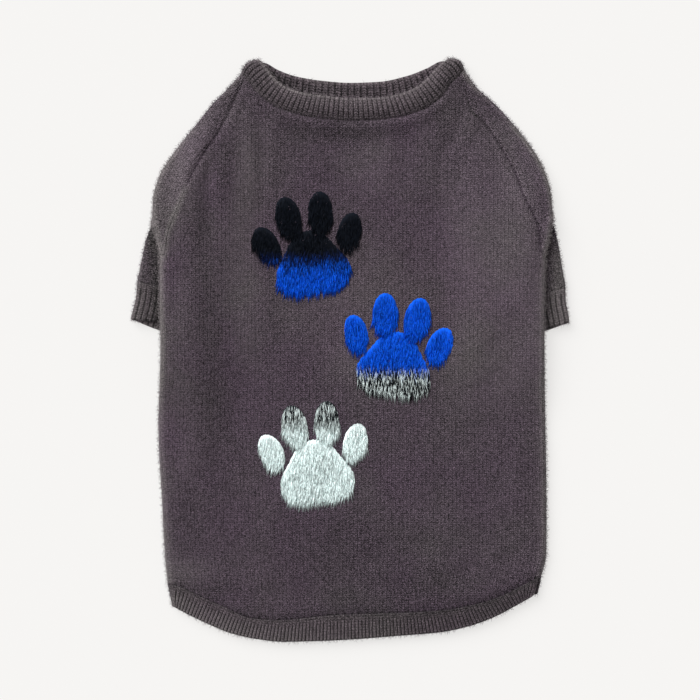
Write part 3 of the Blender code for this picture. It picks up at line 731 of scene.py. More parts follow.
def tubeGrid(side, start, section, down):
    # below the cap a sleeve closes to a tube
    first, last = start[0], start[-1]
    turns = math.pi * np.arange(1, arcPoints) / arcPoints
    closing = last + (first - last) * ((1 - np.cos(turns)) / 2)[:, None]
    closing[:, 0] -= signs[side] * wall / 4 * np.sin(turns)
    rings = [np.concatenate((start, closing))]
    folds = [lengths(section[pleatEnd:])[int(ownFold) - pleatEnd]]
    for row in np.linspace(0, cuffFrom, sleeveKnit["tubeRows"])[1:]:
        main, back = tubeSection(side, row, seamGap / 2 if row == cuffFrom else 0.0)
        folds.append(lengths(main)[lowerPoints + arcPoints // 2])
        rings.append(np.concatenate((evenly(main, sleeveKnit["lowerColumns"]), back)))
    rings = np.array(rings)
    fromFold = [abs(ringLengths(ring) - fold) for ring, fold in zip(rings, folds)]
    return {
        "points": rings,
        "closed": True,
        "grain": knitGrain(np.array(fromFold) / bodyKnit["wale"], down + lengths(rings.mean(1))[:, None]),
        "full": 1.0,
        "pale": paintedTubeShadeAndLight(side, rings),
        "grey": sleeveKnit["grey"],
        "over": side == "left",
    }


def sleeveGrids(side):
    look, top = sleeveKnit, cap[side]["y"][0]
    levels = top + (underarmY - top) * np.linspace(0, 1, look["rows"]) ** 0.9
    sections = np.array([capSection(side, y) for y in levels])
    seam, rim, _ = neckFold(side)
    sections[:, :, :2] += unit(seam - rim) * bandGap * ease(6, 0, top - levels)[:, None, None]
    upper = np.array([evenly(row[: pleatEnd + 1], look["upperColumns"]) for row in sections])
    lower = np.array([evenly(row[pleatEnd:], look["lowerColumns"]) for row in sections])
    points = np.concatenate((upper, lower[:, 1:]), 1)
    down = lengths(np.stack((read(cap[side], "edge", levels), levels), -1))[:, None]
    wales = np.array([walesOf(row, share) for row, share in zip(sections, pleatShare(side, levels))])
    column = np.arange(points.shape[1])
    raised = ease(floorLevel + foldRadius, floorLevel + 2 * foldRadius, points[:, :, 2])
    under = ease(*cap[side]["y"][-4:-2], levels)[:, None] * (column >= look["upperColumns"] - 3)
    pale = raised * paintedLightAndWearAt(points[:, :, 0], points[:, :, 1], 0.35) * (1 - under)
    capGrid = {
        "points": points,
        "grain": knitGrain(wales, down),
        "full": 0.3 + 0.7 * ease(0, seamFlat, np.minimum(column, column[::-1]) * 0.7),
        "pale": pale + under * paintedTubeShadeAndLight(side, points),
        "grey": under * look["grey"],
        "over": side == "left",
    }
    return [capGrid, tubeGrid(side, lower[-1], sections[-1], down[-1])]


cuffRib = {
    "ribs": 27, "columnsPerRib": 6, "rows": 13, "relief": 0.55, "full": 0.72, "pale": 0.08, "underPaintedLight": 1.6,
}


def cuffGrid(side):
    look, rings = cuffRib, []
    for row in np.linspace(cuffFrom, cuffTo, look["rows"]):
        main, back = tubeSection(side, row, -seamGap / 2 if row == cuffFrom else 0.0)
        ring = np.concatenate((main, back, main[:1]))
        rings.append(evenly(ring, look["ribs"] * look["columnsPerRib"] + 1)[:-1])
    rings = drawnIn(rings)
    # painted light on the under layer's last rows, where the top layer shades it
    underRim = ease(sleeveLevel, floorLevel, rings[:, :, 2]) * ease(8, 12, np.arange(len(rings)))[:, None]
    pale = paintedTubeShadeAndLight(side, rings) + look["pale"] + look["underPaintedLight"] * underRim
    band = ringGrid(rings, look["ribs"], 0.5, pale)
    return {**band, "full": look["full"] * band["full"], "over": side == "left", "grey": sleeveKnit["grey"]}


def drawnIn(rings):
    # half a step less at the rim rounds it
    rings = np.array(rings)
    rings[-1] += (rings[-2] - rings[-1]) * 0.5
    return rings


def ringGrid(rings, ribs, start, pale, weights=None, fade=0.0, ramp=4.0, freeRows=3):
    # a band whose ribs start below its seam
    share = np.linspace(0, 1, rings.shape[1] + 1) if weights is None else weights
    depth = lengths(rings.mean(1))[:, None]
    full = ease(start, start + ramp, depth) * (1 - fade * depth / depth[-1])
    free = np.repeat((0.0, 1.0), (len(rings) - freeRows, freeRows))[:, None]
    grid = {"points": rings, "closed": True, "grain": knitGrain(share * ribs, depth), "full": full}
    return {**grid, "free": free, "pale": pale}


def spread(rings, pitch, columnsPerRib):
    # whole ribs, evenly round the rings
    closed = np.concatenate((rings, rings[:, :1]), 1)
    spans = np.linalg.norm(np.diff(closed[len(rings) // 2], axis=0), axis=-1) / pitch
    places = np.append(0.0, np.cumsum(spans))
    ribs = round(places[-1])
    wanted = np.linspace(0, places[-1], ribs * columnsPerRib + 1)[:-1]
    index = np.interp(wanted, places, np.arange(len(places)))
    low = index.astype(int)
    share = (index - low)[:, None]
    return closed[:, low] * (1 - share) + closed[:, low + 1] * share, ribs


# neck band

neckRib = {
    "pitch": 3.15, "innerPitch": 4.2, "columnsPerRib": 6, "rows": 13, "relief": 0.55,
    "bulge": 2.8, "swell": 1.5, "lip": 1.1, "pale": 0.1, "depthFade": 0.4, "rimFade": 0.7,
}


def neckFold(side):
    # where a side fold meets the seam and the rim, and the way in
    top = cap[side]["y"][0]
    rim = np.array(neckEnds["fold"][side]) * (signs[side], 1)
    return capPlace(side, top, "edge", -wall / 2), rim, wayIn(side, top)


def bandPath(table, column):
    # seam and rim from the left fold to the right one
    ends = []
    for side, sign in signs.items():
        seam, rim, inward = neckFold(side)
        raglan = capPlace(side, cap[side]["y"][0], column)
        fold = np.concatenate((seam + inward * foldRadius, rim + inward * foldRadius))
        ends.append([fold, np.concatenate((raglan, np.array(neckEnds[column][side]) * (sign, 1)))])
    return np.concatenate((ends[0], np.stack(list(table.values()), -1), ends[1][::-1]))


def bandSide(path, pitch, columnsPerRib):
    # even places along the band, measured halfway down it
    places = lengths((path[:, :2] + path[:, 2:]) / 2)
    return smooth(places, path, np.linspace(0, places[-1], round(places[-1] / pitch * columnsPerRib) + 1))


def neckPaintedShadeAndLight(rings, share):
    # painted shade towards the seam and on the inner layer, most to the left where the fold shades it, and a
    # painted highlight at the rim
    front = ease(floorLevel + 1, floorLevel + backOver, rings[:, :, 2])
    leftward = ease(-10, -52, rings[:, :, 0])
    outer = -0.3 + 0.7 * share + (0.35 + 0.5 * leftward) * ease(0.85, 1.0, share)
    inner = -0.2 - 0.4 * leftward + 0.5 * ease(0.7, 1.0, share)
    return front * outer + (1 - front) * inner + neckRib["pale"]


def neckGrid():
    look = neckRib
    columns = look["columnsPerRib"]
    back = bandSide(bandPath(neckBack, "seam"), look["pitch"], columns)
    chest = bandSide(bandPath(neckChest, "chest"), look["innerPitch"], columns)[::-1]
    rings = []
    for share in np.linspace(0, 1, look["rows"]):
        bulge = look["bulge"] * math.sin(math.pi * share)
        swell = look["swell"] * math.sin(math.pi * min(share * 1.08, 1.0)) ** 0.8
        upperZ = floorLevel + backOver + swell + look["lip"] * share
        upper, under = (line[:, :2] + (line[:, 2:] - line[:, :2]) * share for line in (back, chest))
        folds = {}
        for side in ("right", "left"):
            seam, rim, inward = neckFold(side)
            tip = seam + (rim - seam) * share - inward * bulge
            folds[side] = arc(tip, inward, upperZ, floorLevel, 2 * columns, signs[side])[:-1]
            for line in (upper, under):
                away = np.linalg.norm(line - tip - inward * foldRadius, axis=1)
                line -= inward * bulge * ease(14, 0, away)[:, None]
        upper, under = (np.insert(line, 2, z, 1) for line, z in ((upper, upperZ), (under, floorLevel)))
        rings.append(np.concatenate((upper, folds["right"], under, folds["left"])))
    rings = np.array(rings)
    pitch = np.full(rings.shape[1], look["pitch"])
    pitch[len(back) + 2 * columns :][: len(chest)] = look["innerPitch"]
    rings, ribs = spread(rings, pitch, columns)
    rings = drawnIn(rings)
    share = np.linspace(0, 1, len(rings))[:, None]
    band = ringGrid(rings, ribs, 0.0, neckPaintedShadeAndLight(rings, share), fade=look["depthFade"])
    return {**band, "full": band["full"] * (1 - look["rimFade"] * ease(0.84, 1.0, share)), "over": True}


# hem band

hemRib = {
    "pitch": 2.25, "columnsPerRib": 5, "rows": 14, "relief": 0.6, "swell": 0.7, "rimDrop": 0.35, "pale": 0.5,
}


def hemPaintedShadeAndTone(x, row):
    # darker on the rows by the seam (painted shade along it) and to the right (painted shade), paler on the
    # rim's last rows and to the left
    started = ease(2, 9, row)
    pale = hemRib["pale"] * ease(20, -80, x) * (0.3 + 0.7 * started) + 0.25 * started - 0.3 * ease(0, 60, x)
    return pale + 0.45 * ease(10, 13, row) - 0.42 * (1 - ease(0, 4.5, row))


def hemGrid():
    look = hemRib
    step = look["pitch"] / look["columnsPerRib"]
    layers, sign, value = stations(step, turnedSpan=29, flatSpan=115, foldSteps=12, chestSpan=88)
    flat, fold = layers == "flat", layers == "fold"
    y = hemCrossing(layers, sign, value, -bandGap / 2)
    x, tip = bodyPlan(layers, sign, value, y)
    z = np.where(flat, backHeight(x, y, seams=False), turnedHeight(x, y))
    z = np.where(fold, floorLevel + backOver / 2 + foldRadius * np.sin(value * math.pi / 2), z)
    seam = np.stack((x, y), -1)
    outX = x + sign * read(hemFan, "out", abs(x))
    backRim = np.stack((outX, smooth(hemBack["rimX"], hemBack["rimY"], outX)), -1)
    chestRim = np.stack((read(hemChest, "rimX", x), read(hemChest, "rimY", x)), -1)
    tipRim = np.stack((hemBack["rimX"], hemBack["rimY"]), -1)[np.where(sign > 0, -1, 0)]
    foldRim = seam + tipRim - np.stack((sign * tip, read(hemBack, "seamY", sign * tip)), -1)
    rim = np.select([flat[:, None], fold[:, None]], [backRim, foldRim], chestRim)
    rings = []
    for share in np.linspace(0, 1, look["rows"]):
        level = floorLevel + backOver - look["rimDrop"]
        swell = look["swell"] * math.sin(math.pi * min(share * 1.05, 1.0))
        rings.append(np.column_stack((seam + (rim - seam) * share, z + flat * ((level - z) * share + swell))))
    rings = drawnIn(rings)
    span, pale = ringLengths(rings[len(rings) // 2]), hemPaintedShadeAndTone(rings[:, :, 0], np.arange(len(rings))[:, None])
    return ringGrid(rings, round(span[-1] / look["pitch"]), 1.2, pale, span / span[-1], ramp=3.2)


class Wire:
    def __init__(self, tree, socket):
        self.tree, self.socket = tree, socket

    @classmethod
    def make(cls, tree, kind, inputs=(), output=0, stops=(), **settings):
        node = tree.nodes.new(kind)
        for name, value in settings.items():
            setattr(node, name, value)
        for _ in stops[2:]:
            node.color_ramp.elements.new(1.0)
        for i, (place, colour) in enumerate(stops):
            node.color_ramp.elements[i].position, node.color_ramp.elements[i].color = place, (*colour, 1.0)
        for name, value in inputs.items() if isinstance(inputs, dict) else enumerate(inputs):
            if isinstance(value, Wire):
                tree.links.new(value.socket, node.inputs[name])
            else:
                node.inputs[name].default_value = value
        return cls(tree, node.outputs[output])

    def output(self, name):
        return Wire(self.tree, self.socket.node.outputs[name])

    def parts(self):
        x = Wire.make(self.tree, "ShaderNodeSeparateXYZ", (self,))
        return x, x.output(1), x.output(2)

    def into(self, shader, name):
        self.tree.links.new(self.socket, shader.inputs[name])

    def maths(self, operation, *others, clamp=False):
        return Wire.make(self.tree, "ShaderNodeMath", (self, *others), operation=operation, use_clamp=clamp)

    __add__ = __radd__ = partialmethod(maths, "ADD")
    __sub__ = partialmethod(maths, "SUBTRACT")
    __mul__ = __rmul__ = partialmethod(maths, "MULTIPLY")
    __truediv__ = partialmethod(maths, "DIVIDE")
    __pow__ = partialmethod(maths, "POWER")
    __abs__ = partialmethod(maths, "ABSOLUTE")

    def __rsub__(self, other):
        return self * -1.0 + other

    def scaled(self, factor):
        return Wire.make(self.tree, "ShaderNodeVectorMath", {0: self, "Scale": factor}, operation="SCALE")


def noise(node, scale, detail=1.0, roughness=0.5, **place):
    return node("ShaderNodeTexNoise", {**place, "Scale": scale, "Detail": detail, "Roughness": roughness})


def mixed(node, factor, first, second):
    return node("ShaderNodeMix", {0: factor, 6: first, 7: second}, 2, data_type="RGBA")


def attribute(node, name):
    return node("ShaderNodeAttribute", output=2, attribute_name=name)


def newMaterial(name, constants):
    material = bpy.data.materials.new(name)
    material.use_nodes = True
    shader = material.node_tree.nodes["Principled BSDF"]
    for socket, value in constants.items():
        shader.inputs[socket].default_value = value
    return material, shader, partial(Wire.make, material.node_tree)


yarnFinish = {
    "Roughness": 0.95, "Specular IOR Level": 0.15,
    "Sheen Weight": 0.1, "Sheen Roughness": 0.5, "Sheen Tint": (0.62, 0.64, 0.60, 1.0),
}
knitLook = {
    "warm": (0.0631, 0.0450, 0.0611, 1.0),
    "cool": (0.0627, 0.0556, 0.0567, 1.0),
    "coolShare": 0.15,
    "legReach": 1.0,
    "lean": 0.45,
    "ragged": 0.3,
    "waleShare": 0.45,
    "waleShade": 0.4,
    "yarnsAcross": 5.5,
    "yarnsDown": 4.6,
    "heather": 2.55,
    "fluff": 2.5,
    "fluffScale": 1350.0,
    "streak": 0.3,
    "stitchShade": 1.3,
    "paintedLightAndWearGain": 0.95,
    "paintedLightAndWearCool": 0.6,
    "valley": 0.0,
    "valleyFrom": 0.6,
    "bump": 0.8,
    "fibreShade": 1.9,
}
ribLook = {
    **knitLook, "warm": (0.0755, 0.0575, 0.069, 1.0), "cool": (0.075, 0.0655, 0.0675, 1.0), "coolShare": 0.32,
    "legReach": 0.86, "waleShare": 0.35, "waleShade": 0.0, "heather": 1.9, "valley": 0.88, "valleyFrom": 0.5,
}


def toned(node, place, look, share):
    # two tones of yarn in broad soft patches
    drift = (noise(node, 21.0, 2.0, Vector=place) - 0.5) * 1.5 + (share + look["coolShare"])
    return mixed(node, drift.maths("ADD", 0.0, clamp=True), look["warm"], look["cool"])


def knitMaterial(name, look):
    material, shader, node = newMaterial(name, yarnFinish)
    grain = node("ShaderNodeUVMap", uv_map="knitGrain")
    across, along, _ = grain.parts()
    place = node("ShaderNodeTexCoord", output="Object")
    # pale: paler or darker yarn, partly wear and partly painted light and painted shade
    paintedLightAndWear, grey, full = (attribute(node, label) for label in ("pale", "grey", "full"))
    # each stitch is a V of two legs
    ragged = (noise(node, 900.0, Vector=place) - 0.5) * look["ragged"]
    legs = abs(across.maths("FRACT") - 0.5) * 2.0 + ragged
    reach = (legs / look["legReach"]).maths("MINIMUM", 1.0).maths("MAXIMUM", 0.0)
    phase = along + legs * look["lean"] + ragged
    strand = (phase.maths("FRACT") * math.pi).maths("SINE") ** 0.7
    crown = (reach * math.pi).maths("SINE").maths("MAXIMUM", 0.0) ** 0.55
    stitch = crown * look["waleShare"] + strand * (1.0 - look["waleShare"])
    # each stitch has its own yarn
    cell = ((across * look["yarnsAcross"]).maths("FLOOR"), (phase * look["yarnsDown"]).maths("FLOOR"))
    yarn = node("ShaderNodeTexWhiteNoise", (node("ShaderNodeCombineXYZ", cell),), noise_dimensions="2D")
    fluff = noise(node, look["fluffScale"], 2.0, 0.7, Vector=place) - 0.5
    streak = node("ShaderNodeVectorMath", (grain, (1.1, 0.16, 1.0)), operation="MULTIPLY")
    fibre = noise(node, 1.0, 2.0, 0.6, Vector=streak) - 0.5
    # painted shade in the grooves between the legs and between the wales; the heather is the yarn's own
    tone = 1.0 + (stitch - 0.55) * look["stitchShade"] + (yarn * yarn - 0.333) * look["heather"]
    tone = tone + (0.5 - legs) * look["waleShade"] + fluff * look["fluff"]
    tone = tone + fibre * look["streak"] + paintedLightAndWear * look["paintedLightAndWearGain"]
    # painted shade in the grooves between the ribs, scaled by full, which fades by the seams and towards the
    # neck's rim
    valley = node("ShaderNodeMapRange", (legs, look["valleyFrom"], 0.92), interpolation_type="SMOOTHSTEP")
    tone = (tone * (1.0 - valley * look["valley"] * full)).maths("MAXIMUM", 0.12)
    # the same painted light and shade, and wear, also turn the yarn cooler and greyer
    toned(node, place, look, abs(paintedLightAndWear) * look["paintedLightAndWearCool"] + grey).scaled(tone).into(shader, "Base Color")
    relief = stitch + fluff * 1.6 + (yarn - 0.5) * 0.5
    bump = node("ShaderNodeBump", {"Strength": look["bump"], "Distance": 0.0007, "Height": relief})
    bump.into(shader, "Normal")
    return material


def fibreMaterial(name, look):
    material, shader, node = newMaterial(name, yarnFinish)
    paintedLightAndWear = attribute(node, "pale")
    colour = toned(node, node("ShaderNodeTexCoord", output="Object"), look, paintedLightAndWear * look["paintedLightAndWearCool"])
    colour.scaled((1.0 + paintedLightAndWear * look["paintedLightAndWearGain"]) * look["fibreShade"]).into(shader, "Base Color")
    return material


bodyYarn = knitMaterial("heatherKnit", knitLook)
sleeveYarn = knitMaterial("heatherSleeve", {**knitLook, "heather": 3.7, "fluff": 3.4})
ribYarn = knitMaterial("heatherRib", ribLook)
# loose fibre ends painted 1.9 times lighter than the knit, a painted haze of light through them
looseYarn = fibreMaterial("looseWool", knitLook)
linkYarn = fibreMaterial("linkingYarn", {**knitLook, "fibreShade": 0.85})


def newTree(name, **inputs):
    tree = bpy.data.node_groups.new(name, "GeometryNodeTree")
    for label, kind in {"Geometry": "Geometry", **inputs, "Material": "Material"}.items():
        tree.interface.new_socket(label, in_out="INPUT", socket_type="NodeSocket" + kind)
    tree.interface.new_socket("Geometry", in_out="OUTPUT", socket_type="NodeSocketGeometry")
    given = tree.nodes.new("NodeGroupInput").outputs[:-1]
    return partial(Wire.make, tree), {socket.name: Wire(tree, socket) for socket in given}


def endTree(node, given, geometry):
    real = node("GeometryNodeRealizeInstances", (geometry,))
    dressed = node("GeometryNodeSetMaterial", {"Geometry": real, "Material": given["Material"]})
    dressed.into(geometry.tree.nodes.new("NodeGroupOutput"), 0)
    return geometry.tree


def applyTree(piece, tree, **values):
    # the tree's result becomes the piece's plain mesh
    modifier = piece.modifiers.new(tree.name, "NODES")
    modifier.node_group = tree
    for item in tree.interface.items_tree:
        if item.in_out == "INPUT" and item.name in values:
            modifier[item.identifier] = values[item.name]
    bpy.context.view_layer.update()
    graph = bpy.context.evaluated_depsgraph_get()
    done = piece.evaluated_get(graph)
    made = bpy.data.meshes.new_from_object(done, preserve_all_data_layers=True, depsgraph=graph)
    piece.modifiers.remove(modifier)
    old, piece.data = piece.data, made
    made.name = piece.name
    bpy.data.meshes.remove(old)


def field(node, name, kind="FLOAT"):
    return node("GeometryNodeInputNamedAttribute", {"Name": name}, data_type=kind)


def drawn(node, low, high, seed):
    return node("FunctionNodeRandomValue", {2: low, 3: high, "Seed": seed}, 1, data_type="FLOAT")


def scattered(node, given, chosen, density):
    inputs = {"Mesh": given["Geometry"], "Selection": chosen, "Density": density, "Seed": given["Seed"]}
    return node("GeometryNodeDistributePointsOnFaces", inputs, distribute_method="RANDOM")


def copies(node, given, points, turn, size):
    shape = node("GeometryNodeObjectInfo", (given["Shape"],), "Geometry")
    inputs = {"Points": points, "Instance": shape, "Rotation": turn, "Scale": size}
    return node("GeometryNodeInstanceOnPoints", inputs)


def moved(node, geometry, **place):
    return node("GeometryNodeSetPosition", {"Geometry": geometry, **place})


def reliefTree():
    # pushes wales or ribs out of the cloth
    node, given = newTree("knitRelief", Depth="Float", Fullness="Float", Inside="Float", Unevenness="Float")
    wave = 0.5 - (field(node, "across") * (2 * math.pi)).maths("COSINE") * 0.5
    uneven = 1.0 + (noise(node, 160.0) - 0.5) * given["Unevenness"]
    side = given["Inside"] + field(node, "outside") * (1.0 - given["Inside"])
    push = (wave ** given["Fullness"] - 0.5) * uneven * given["Depth"] * side * field(node, "full")
    offset = field(node, "facing", "FLOAT_VECTOR").scaled(push)
    return endTree(node, given, moved(node, given["Geometry"], Offset=offset))


scatterInputs = {
    "Shape": "Object", "Density": "Float", "Shortest": "Float", "Longest": "Float", "Seed": "Int",
}


def fuzzTree():
    # loose fibre ends, none of them below the floor
    node, given = newTree("looseFibres", **scatterInputs, Inner="Float", Lean="Float")
    upward, raised = (node("GeometryNodeInput" + kind).parts()[2] for kind in ("Normal", "Position"))
    exposed = field(node, "fuzz") * upward.maths("GREATER_THAN", -0.35) * raised.maths("GREATER_THAN", 0.0015)
    density = given["Density"] * (given["Inner"] + (1.0 - abs(upward)) ** 2.0)
    points = scattered(node, given, exposed.maths("GREATER_THAN", 0.45), density)
    ranges = {0: (-1.0, -1.0, 0.0), 1: (1.0, 1.0, 6.28), "Seed": 3}
    leanX, leanY, spin = node("FunctionNodeRandomValue", ranges, data_type="FLOAT_VECTOR").parts()
    tilt = node("ShaderNodeCombineXYZ", (leanX * given["Lean"], leanY * given["Lean"], spin))
    inputs = points.output("Rotation"), node("FunctionNodeEulerToRotation", (tilt,))
    turned = node("FunctionNodeRotateRotation", inputs, rotation_space="LOCAL")
    placed = copies(node, given, points, turned, drawn(node, given["Shortest"], given["Longest"], 8))
    x, y, z = node("GeometryNodeInputPosition").parts()
    rested = node("ShaderNodeCombineXYZ", (x, y, z.maths("MAXIMUM", 0.0)))
    real = node("GeometryNodeRealizeInstances", (placed,))
    return endTree(node, given, moved(node, real, Position=rested))


def stored(node, geometry, name, value, **kind):
    inputs = {"Geometry": geometry, "Name": name, "Value": value}
    return node("GeometryNodeStoreNamedAttribute", inputs, **kind)


def pileTree():
    # long brushed fibres that lie one way
    node, given = newTree("brushedFibres", **scatterInputs, Sway="Float", Middle="Float", MapShare="Float")
    points = scattered(node, given, field(node, "outside").maths("GREATER_THAN", 0.6), given["Density"])
    yaw = drawn(node, -1.0, 1.0, 5) * given["Sway"] + (noise(node, 120.0) - 0.5) * 1.1
    euler = node("ShaderNodeCombineXYZ", {0: drawn(node, -0.1, 0.06, 6), 2: yaw})
    size = drawn(node, given["Shortest"], given["Longest"], 9)
    placed = copies(node, given, points, node("FunctionNodeEulerToRotation", (euler,)), size)
    marked = stored(node, placed, "tone", drawn(node, 0.0, 1.0, 12), data_type="FLOAT", domain="INSTANCE")
    # the baked map goes by tone and root level, as the colour does
    level = (field(node, "rootY") - given["Middle"]) / 90.0 + 0.45
    around = node("ShaderNodeCombineXYZ", (field(node, "tone"), level)).scaled(1.0 - given["MapShare"])
    own = field(node, "OFBake", "FLOAT_VECTOR").scaled(given["MapShare"])
    laid = node("ShaderNodeVectorMath", (around, own), operation="ADD")
    real = node("GeometryNodeRealizeInstances", (marked,))
    return endTree(node, given, stored(node, real, "OFBake", laid, data_type="FLOAT2", domain="CORNER"))


def stitchTree():
    node, given = newTree("linkingStitches", Shape="Object", Spacing="Float")
    line = node("GeometryNodeMeshToCurve", (given["Geometry"],))
    spots = node("GeometryNodeCurveToPoints", {"Curve": line, "Length": given["Spacing"]}, mode="LENGTH")
    aimed = node("FunctionNodeAlignRotationToVector", {"Vector": spots.output("Tangent")}, axis="X")
    return endTree(node, given, copies(node, given, spots, aimed, drawn(node, 0.85, 1.15, 2)))


def tubeShape(name, centres, radii, sides):
    # a closed strand along points, to be repeated
    centres, radii = np.asarray(centres, float), np.asarray(radii)[:, None, None]
    run = unit(np.gradient(centres, axis=0))
    sideways = np.cross(run, (0, 0, 1.0))
    sideways[np.linalg.norm(sideways, axis=1) < 1e-3] = (0, 1.0, 0)
    sideways = unit(sideways)
    angle = (2 * math.pi * (np.arange(sides) + 0.5) / sides)[:, None]
    circle = sideways[:, None] * np.cos(angle) + np.cross(sideways, run)[:, None] * np.sin(angle)
    points = (centres[:, None] + radii * circle).reshape(-1, 3)
    ends = [list(range(sides)), list(range(len(points) - sides, len(points)))[::-1]]
    return newPiece(name, points, gridQuads(len(centres), sides, True)[0].tolist() + ends)


def finishPiece(piece, slot, *replaced):
    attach(piece, "root")
    if replaced:
        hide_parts(*replaced)
    print(piece.name, "has", sum(len(face.vertices) - 2 for face in piece.data.polygons), "triangles")


# the cloth pieces

panelRelief = {"Depth": 0.11 * mm, "Fullness": 0.5, "Inside": 0.3, "Unevenness": bodyKnit["unevenness"]}
ribRelief = {**panelRelief, "Fullness": 0.4, "Inside": 1.0}
knitRelief = reliefTree()
pieces = {}
for name, node, grids, yarn, depth in (
    ("backPanel", "back_panel", [backGrid()], bodyYarn, None),
    ("chestPanel", "chest_panel", [chestGrid()], bodyYarn, None),
    ("sleeveLeft", "sleeve_left", sleeveGrids("left"), sleeveYarn, None),
    ("sleeveRight", "sleeve_right", sleeveGrids("right"), sleeveYarn, None),
    ("cuffLeft", "cuff_left", [cuffGrid("left")], ribYarn, cuffRib["relief"]),
    ("cuffRight", "cuff_right", [cuffGrid("right")], ribYarn, cuffRib["relief"]),
    ("neckBand", "neck_rib", [neckGrid()], ribYarn, neckRib["relief"]),
    ("hemBand", "hem_rib", [hemGrid()], ribYarn, hemRib["relief"]),
):
    pieces[name] = clothMesh(name, grids)
    relief = {**ribRelief, "Depth": depth * mm} if depth else panelRelief
    applyTree(pieces[name], knitRelief, Material=yarn, **relief)
    finishPiece(pieces[name], "rib_knit" if depth else "body_knit", node)

# loose fibre ends on the cloth

fibreEnds = {"Density": 2.8e6, "Inner": 0.017, "Lean": 0.8, "Shortest": 0.8, "Longest": 2.4, "Seed": 11}
fibreLine, fibreRadii = ((0, 0, -0.1), (0.2, 0.05, 0.42), (0.95, 0.0, 0.6)), (0.042, 0.042, 0.0168)
looseEnd, looseFibres = tubeShape("looseEnd", fibreLine, fibreRadii, 3), fuzzTree()
for name, source in pieces.items():
    if name == "chestPanel":
        continue
    fluff = newObject(name + "Fluff", source.data.copy())
    applyTree(fluff, looseFibres, Shape=looseEnd, Material=looseYarn, **fibreEnds)
    finishPiece(fluff, "body_knit" if "Panel" in name or "sleeve" in name else "rib_knit")
print("loose fibres done")

# linking stitches along the seams on top

stitchLook = {"spacing": 2.7, "halfWidth": 1.1, "radius": 0.38, "rise": 0.5, "sunk": 0.15}
linkLine = [
    (0.25 * t, stitchLook["halfWidth"] * t, stitchLook["rise"] * (1 - t * t) - stitchLook["sunk"])
    for t in (-1, -0.6, 0, 0.6, 1)
]
link = tubeShape("linkLoop", linkLine, [stitchLook["radius"] * k for k in (0.55, 1, 1, 1, 0.55)], 5)
linkingStitches = stitchTree()
for name, line, count in (
    ("RaglanLeft", raglans["left"][5:54], 120),
    ("RaglanRight", raglans["right"][5:-2], 200),
    ("Neck", neckLine, 260),
    ("Hem", hemLine, 400),
):
    line = evenly(line, count)
    line = np.column_stack((line, backHeight(*line.T) + wall / 2))
    run = newPiece("seamStitches" + name, line, edges=[(i, i + 1) for i in range(count - 1)])
    applyTree(run, linkingStitches, Shape=link, Spacing=stitchLook["spacing"] * mm, Material=linkYarn)
    finishPiece(run, "body_knit")
print("linking stitches done")

# the raised motif: a trail of three brushed paw prints

motif = {
    "paws": ((-25, 60, 9), (29, -5, -8), (-22, -74, 7)),  # middle and turn in degrees
    "size": 1.1,
    "pileHeight": 0.45,
    "tuck": 0.35,
    "pile": {"Density": 2.3e6, "Shortest": 3.5, "Longest": 8.5, "Sway": 0.22, "MapShare": 0.012},
    "rows": 9,
    "around": 56,
    "colourReach": 120.0,  # how far up and down the colours run, and how much they mix
    "colourMix": 7.0,
}
# pads: middle x and y, half width, half height, turn, how three-cornered
pads = ((0, -5, 20.5, 17.5, 0, 0.13), (-24.5, 11, 6.6, 10.4, 24, 0), (-9.4, 24.5, 7.2, 11.6, 7, 0),
        (9.4, 24.5, 7.2, 11.6, -7, 0), (24.5, 11, 6.6, 10.4, -24, 0))


def turnedBy(degrees, x, y):
    a = math.radians(degrees)
    return x * math.cos(a) - y * math.sin(a), x * math.sin(a) + y * math.cos(a)


def padGrid(paw, pad):
    # a low mound: rings from its middle out, then in under its edge
    padX, padY, wide, high, padTurn, corners = pad
    angle = 2 * math.pi * np.arange(motif["around"]) / motif["around"]
    shape = 1 + corners * np.cos(3 * (angle - math.pi / 2))
    rimX, rimY = turnedBy(padTurn, wide * shape * np.cos(angle), high * shape * np.sin(angle))

    def ring(share, rise):
        x, y = turnedBy(paw[2], padX + rimX * share, padY + rimY * share)
        x, y = paw[0] + x * motif["size"], paw[1] + y * motif["size"]
        return np.stack((x, y, backHeight(x, y) + wall / 2 + rise), -1)

    shares = np.linspace(0, 1, motif["rows"])[1:]
    rings = [ring(share, motif["pileHeight"] * math.sqrt(max(1 - share**4, 0))) for share in shares]
    rings += [ring(share, -motif["tuck"]) for share in (1, 0.6, 0.3)]
    return np.array(rings), ring(0, motif["pileHeight"])[0], ring(0, -motif["tuck"])[0]


def motifMesh(name, paw):
    points, faces, up, around = [], [], [], motif["around"]
    for pad in pads:
        rings, top, bottom = padGrid(paw, pad)
        count, base = len(rings), len(points)
        points += [*rings.reshape(-1, 3), top, bottom]
        up += [1.0] * (motif["rows"] - 1) * around + [0.0] * (count - motif["rows"] + 1) * around + [1.0, 0.0]
        faces += (gridQuads(count, around, True)[0] + base).tolist()
        upper, lower = base + count * around, base + (count - 1) * around
        for k in range(around):
            n = (k + 1) % around
            faces += [(upper, base + k, base + n), (upper + 1, lower + n, lower + k)]
    piece = newPiece(name, points, faces)
    for label, values in (("outside", up), ("rootY", np.array(points)[:, 1]), ("tone", [0.5] * len(points))):
        addAttribute(piece, label, values)
    return piece


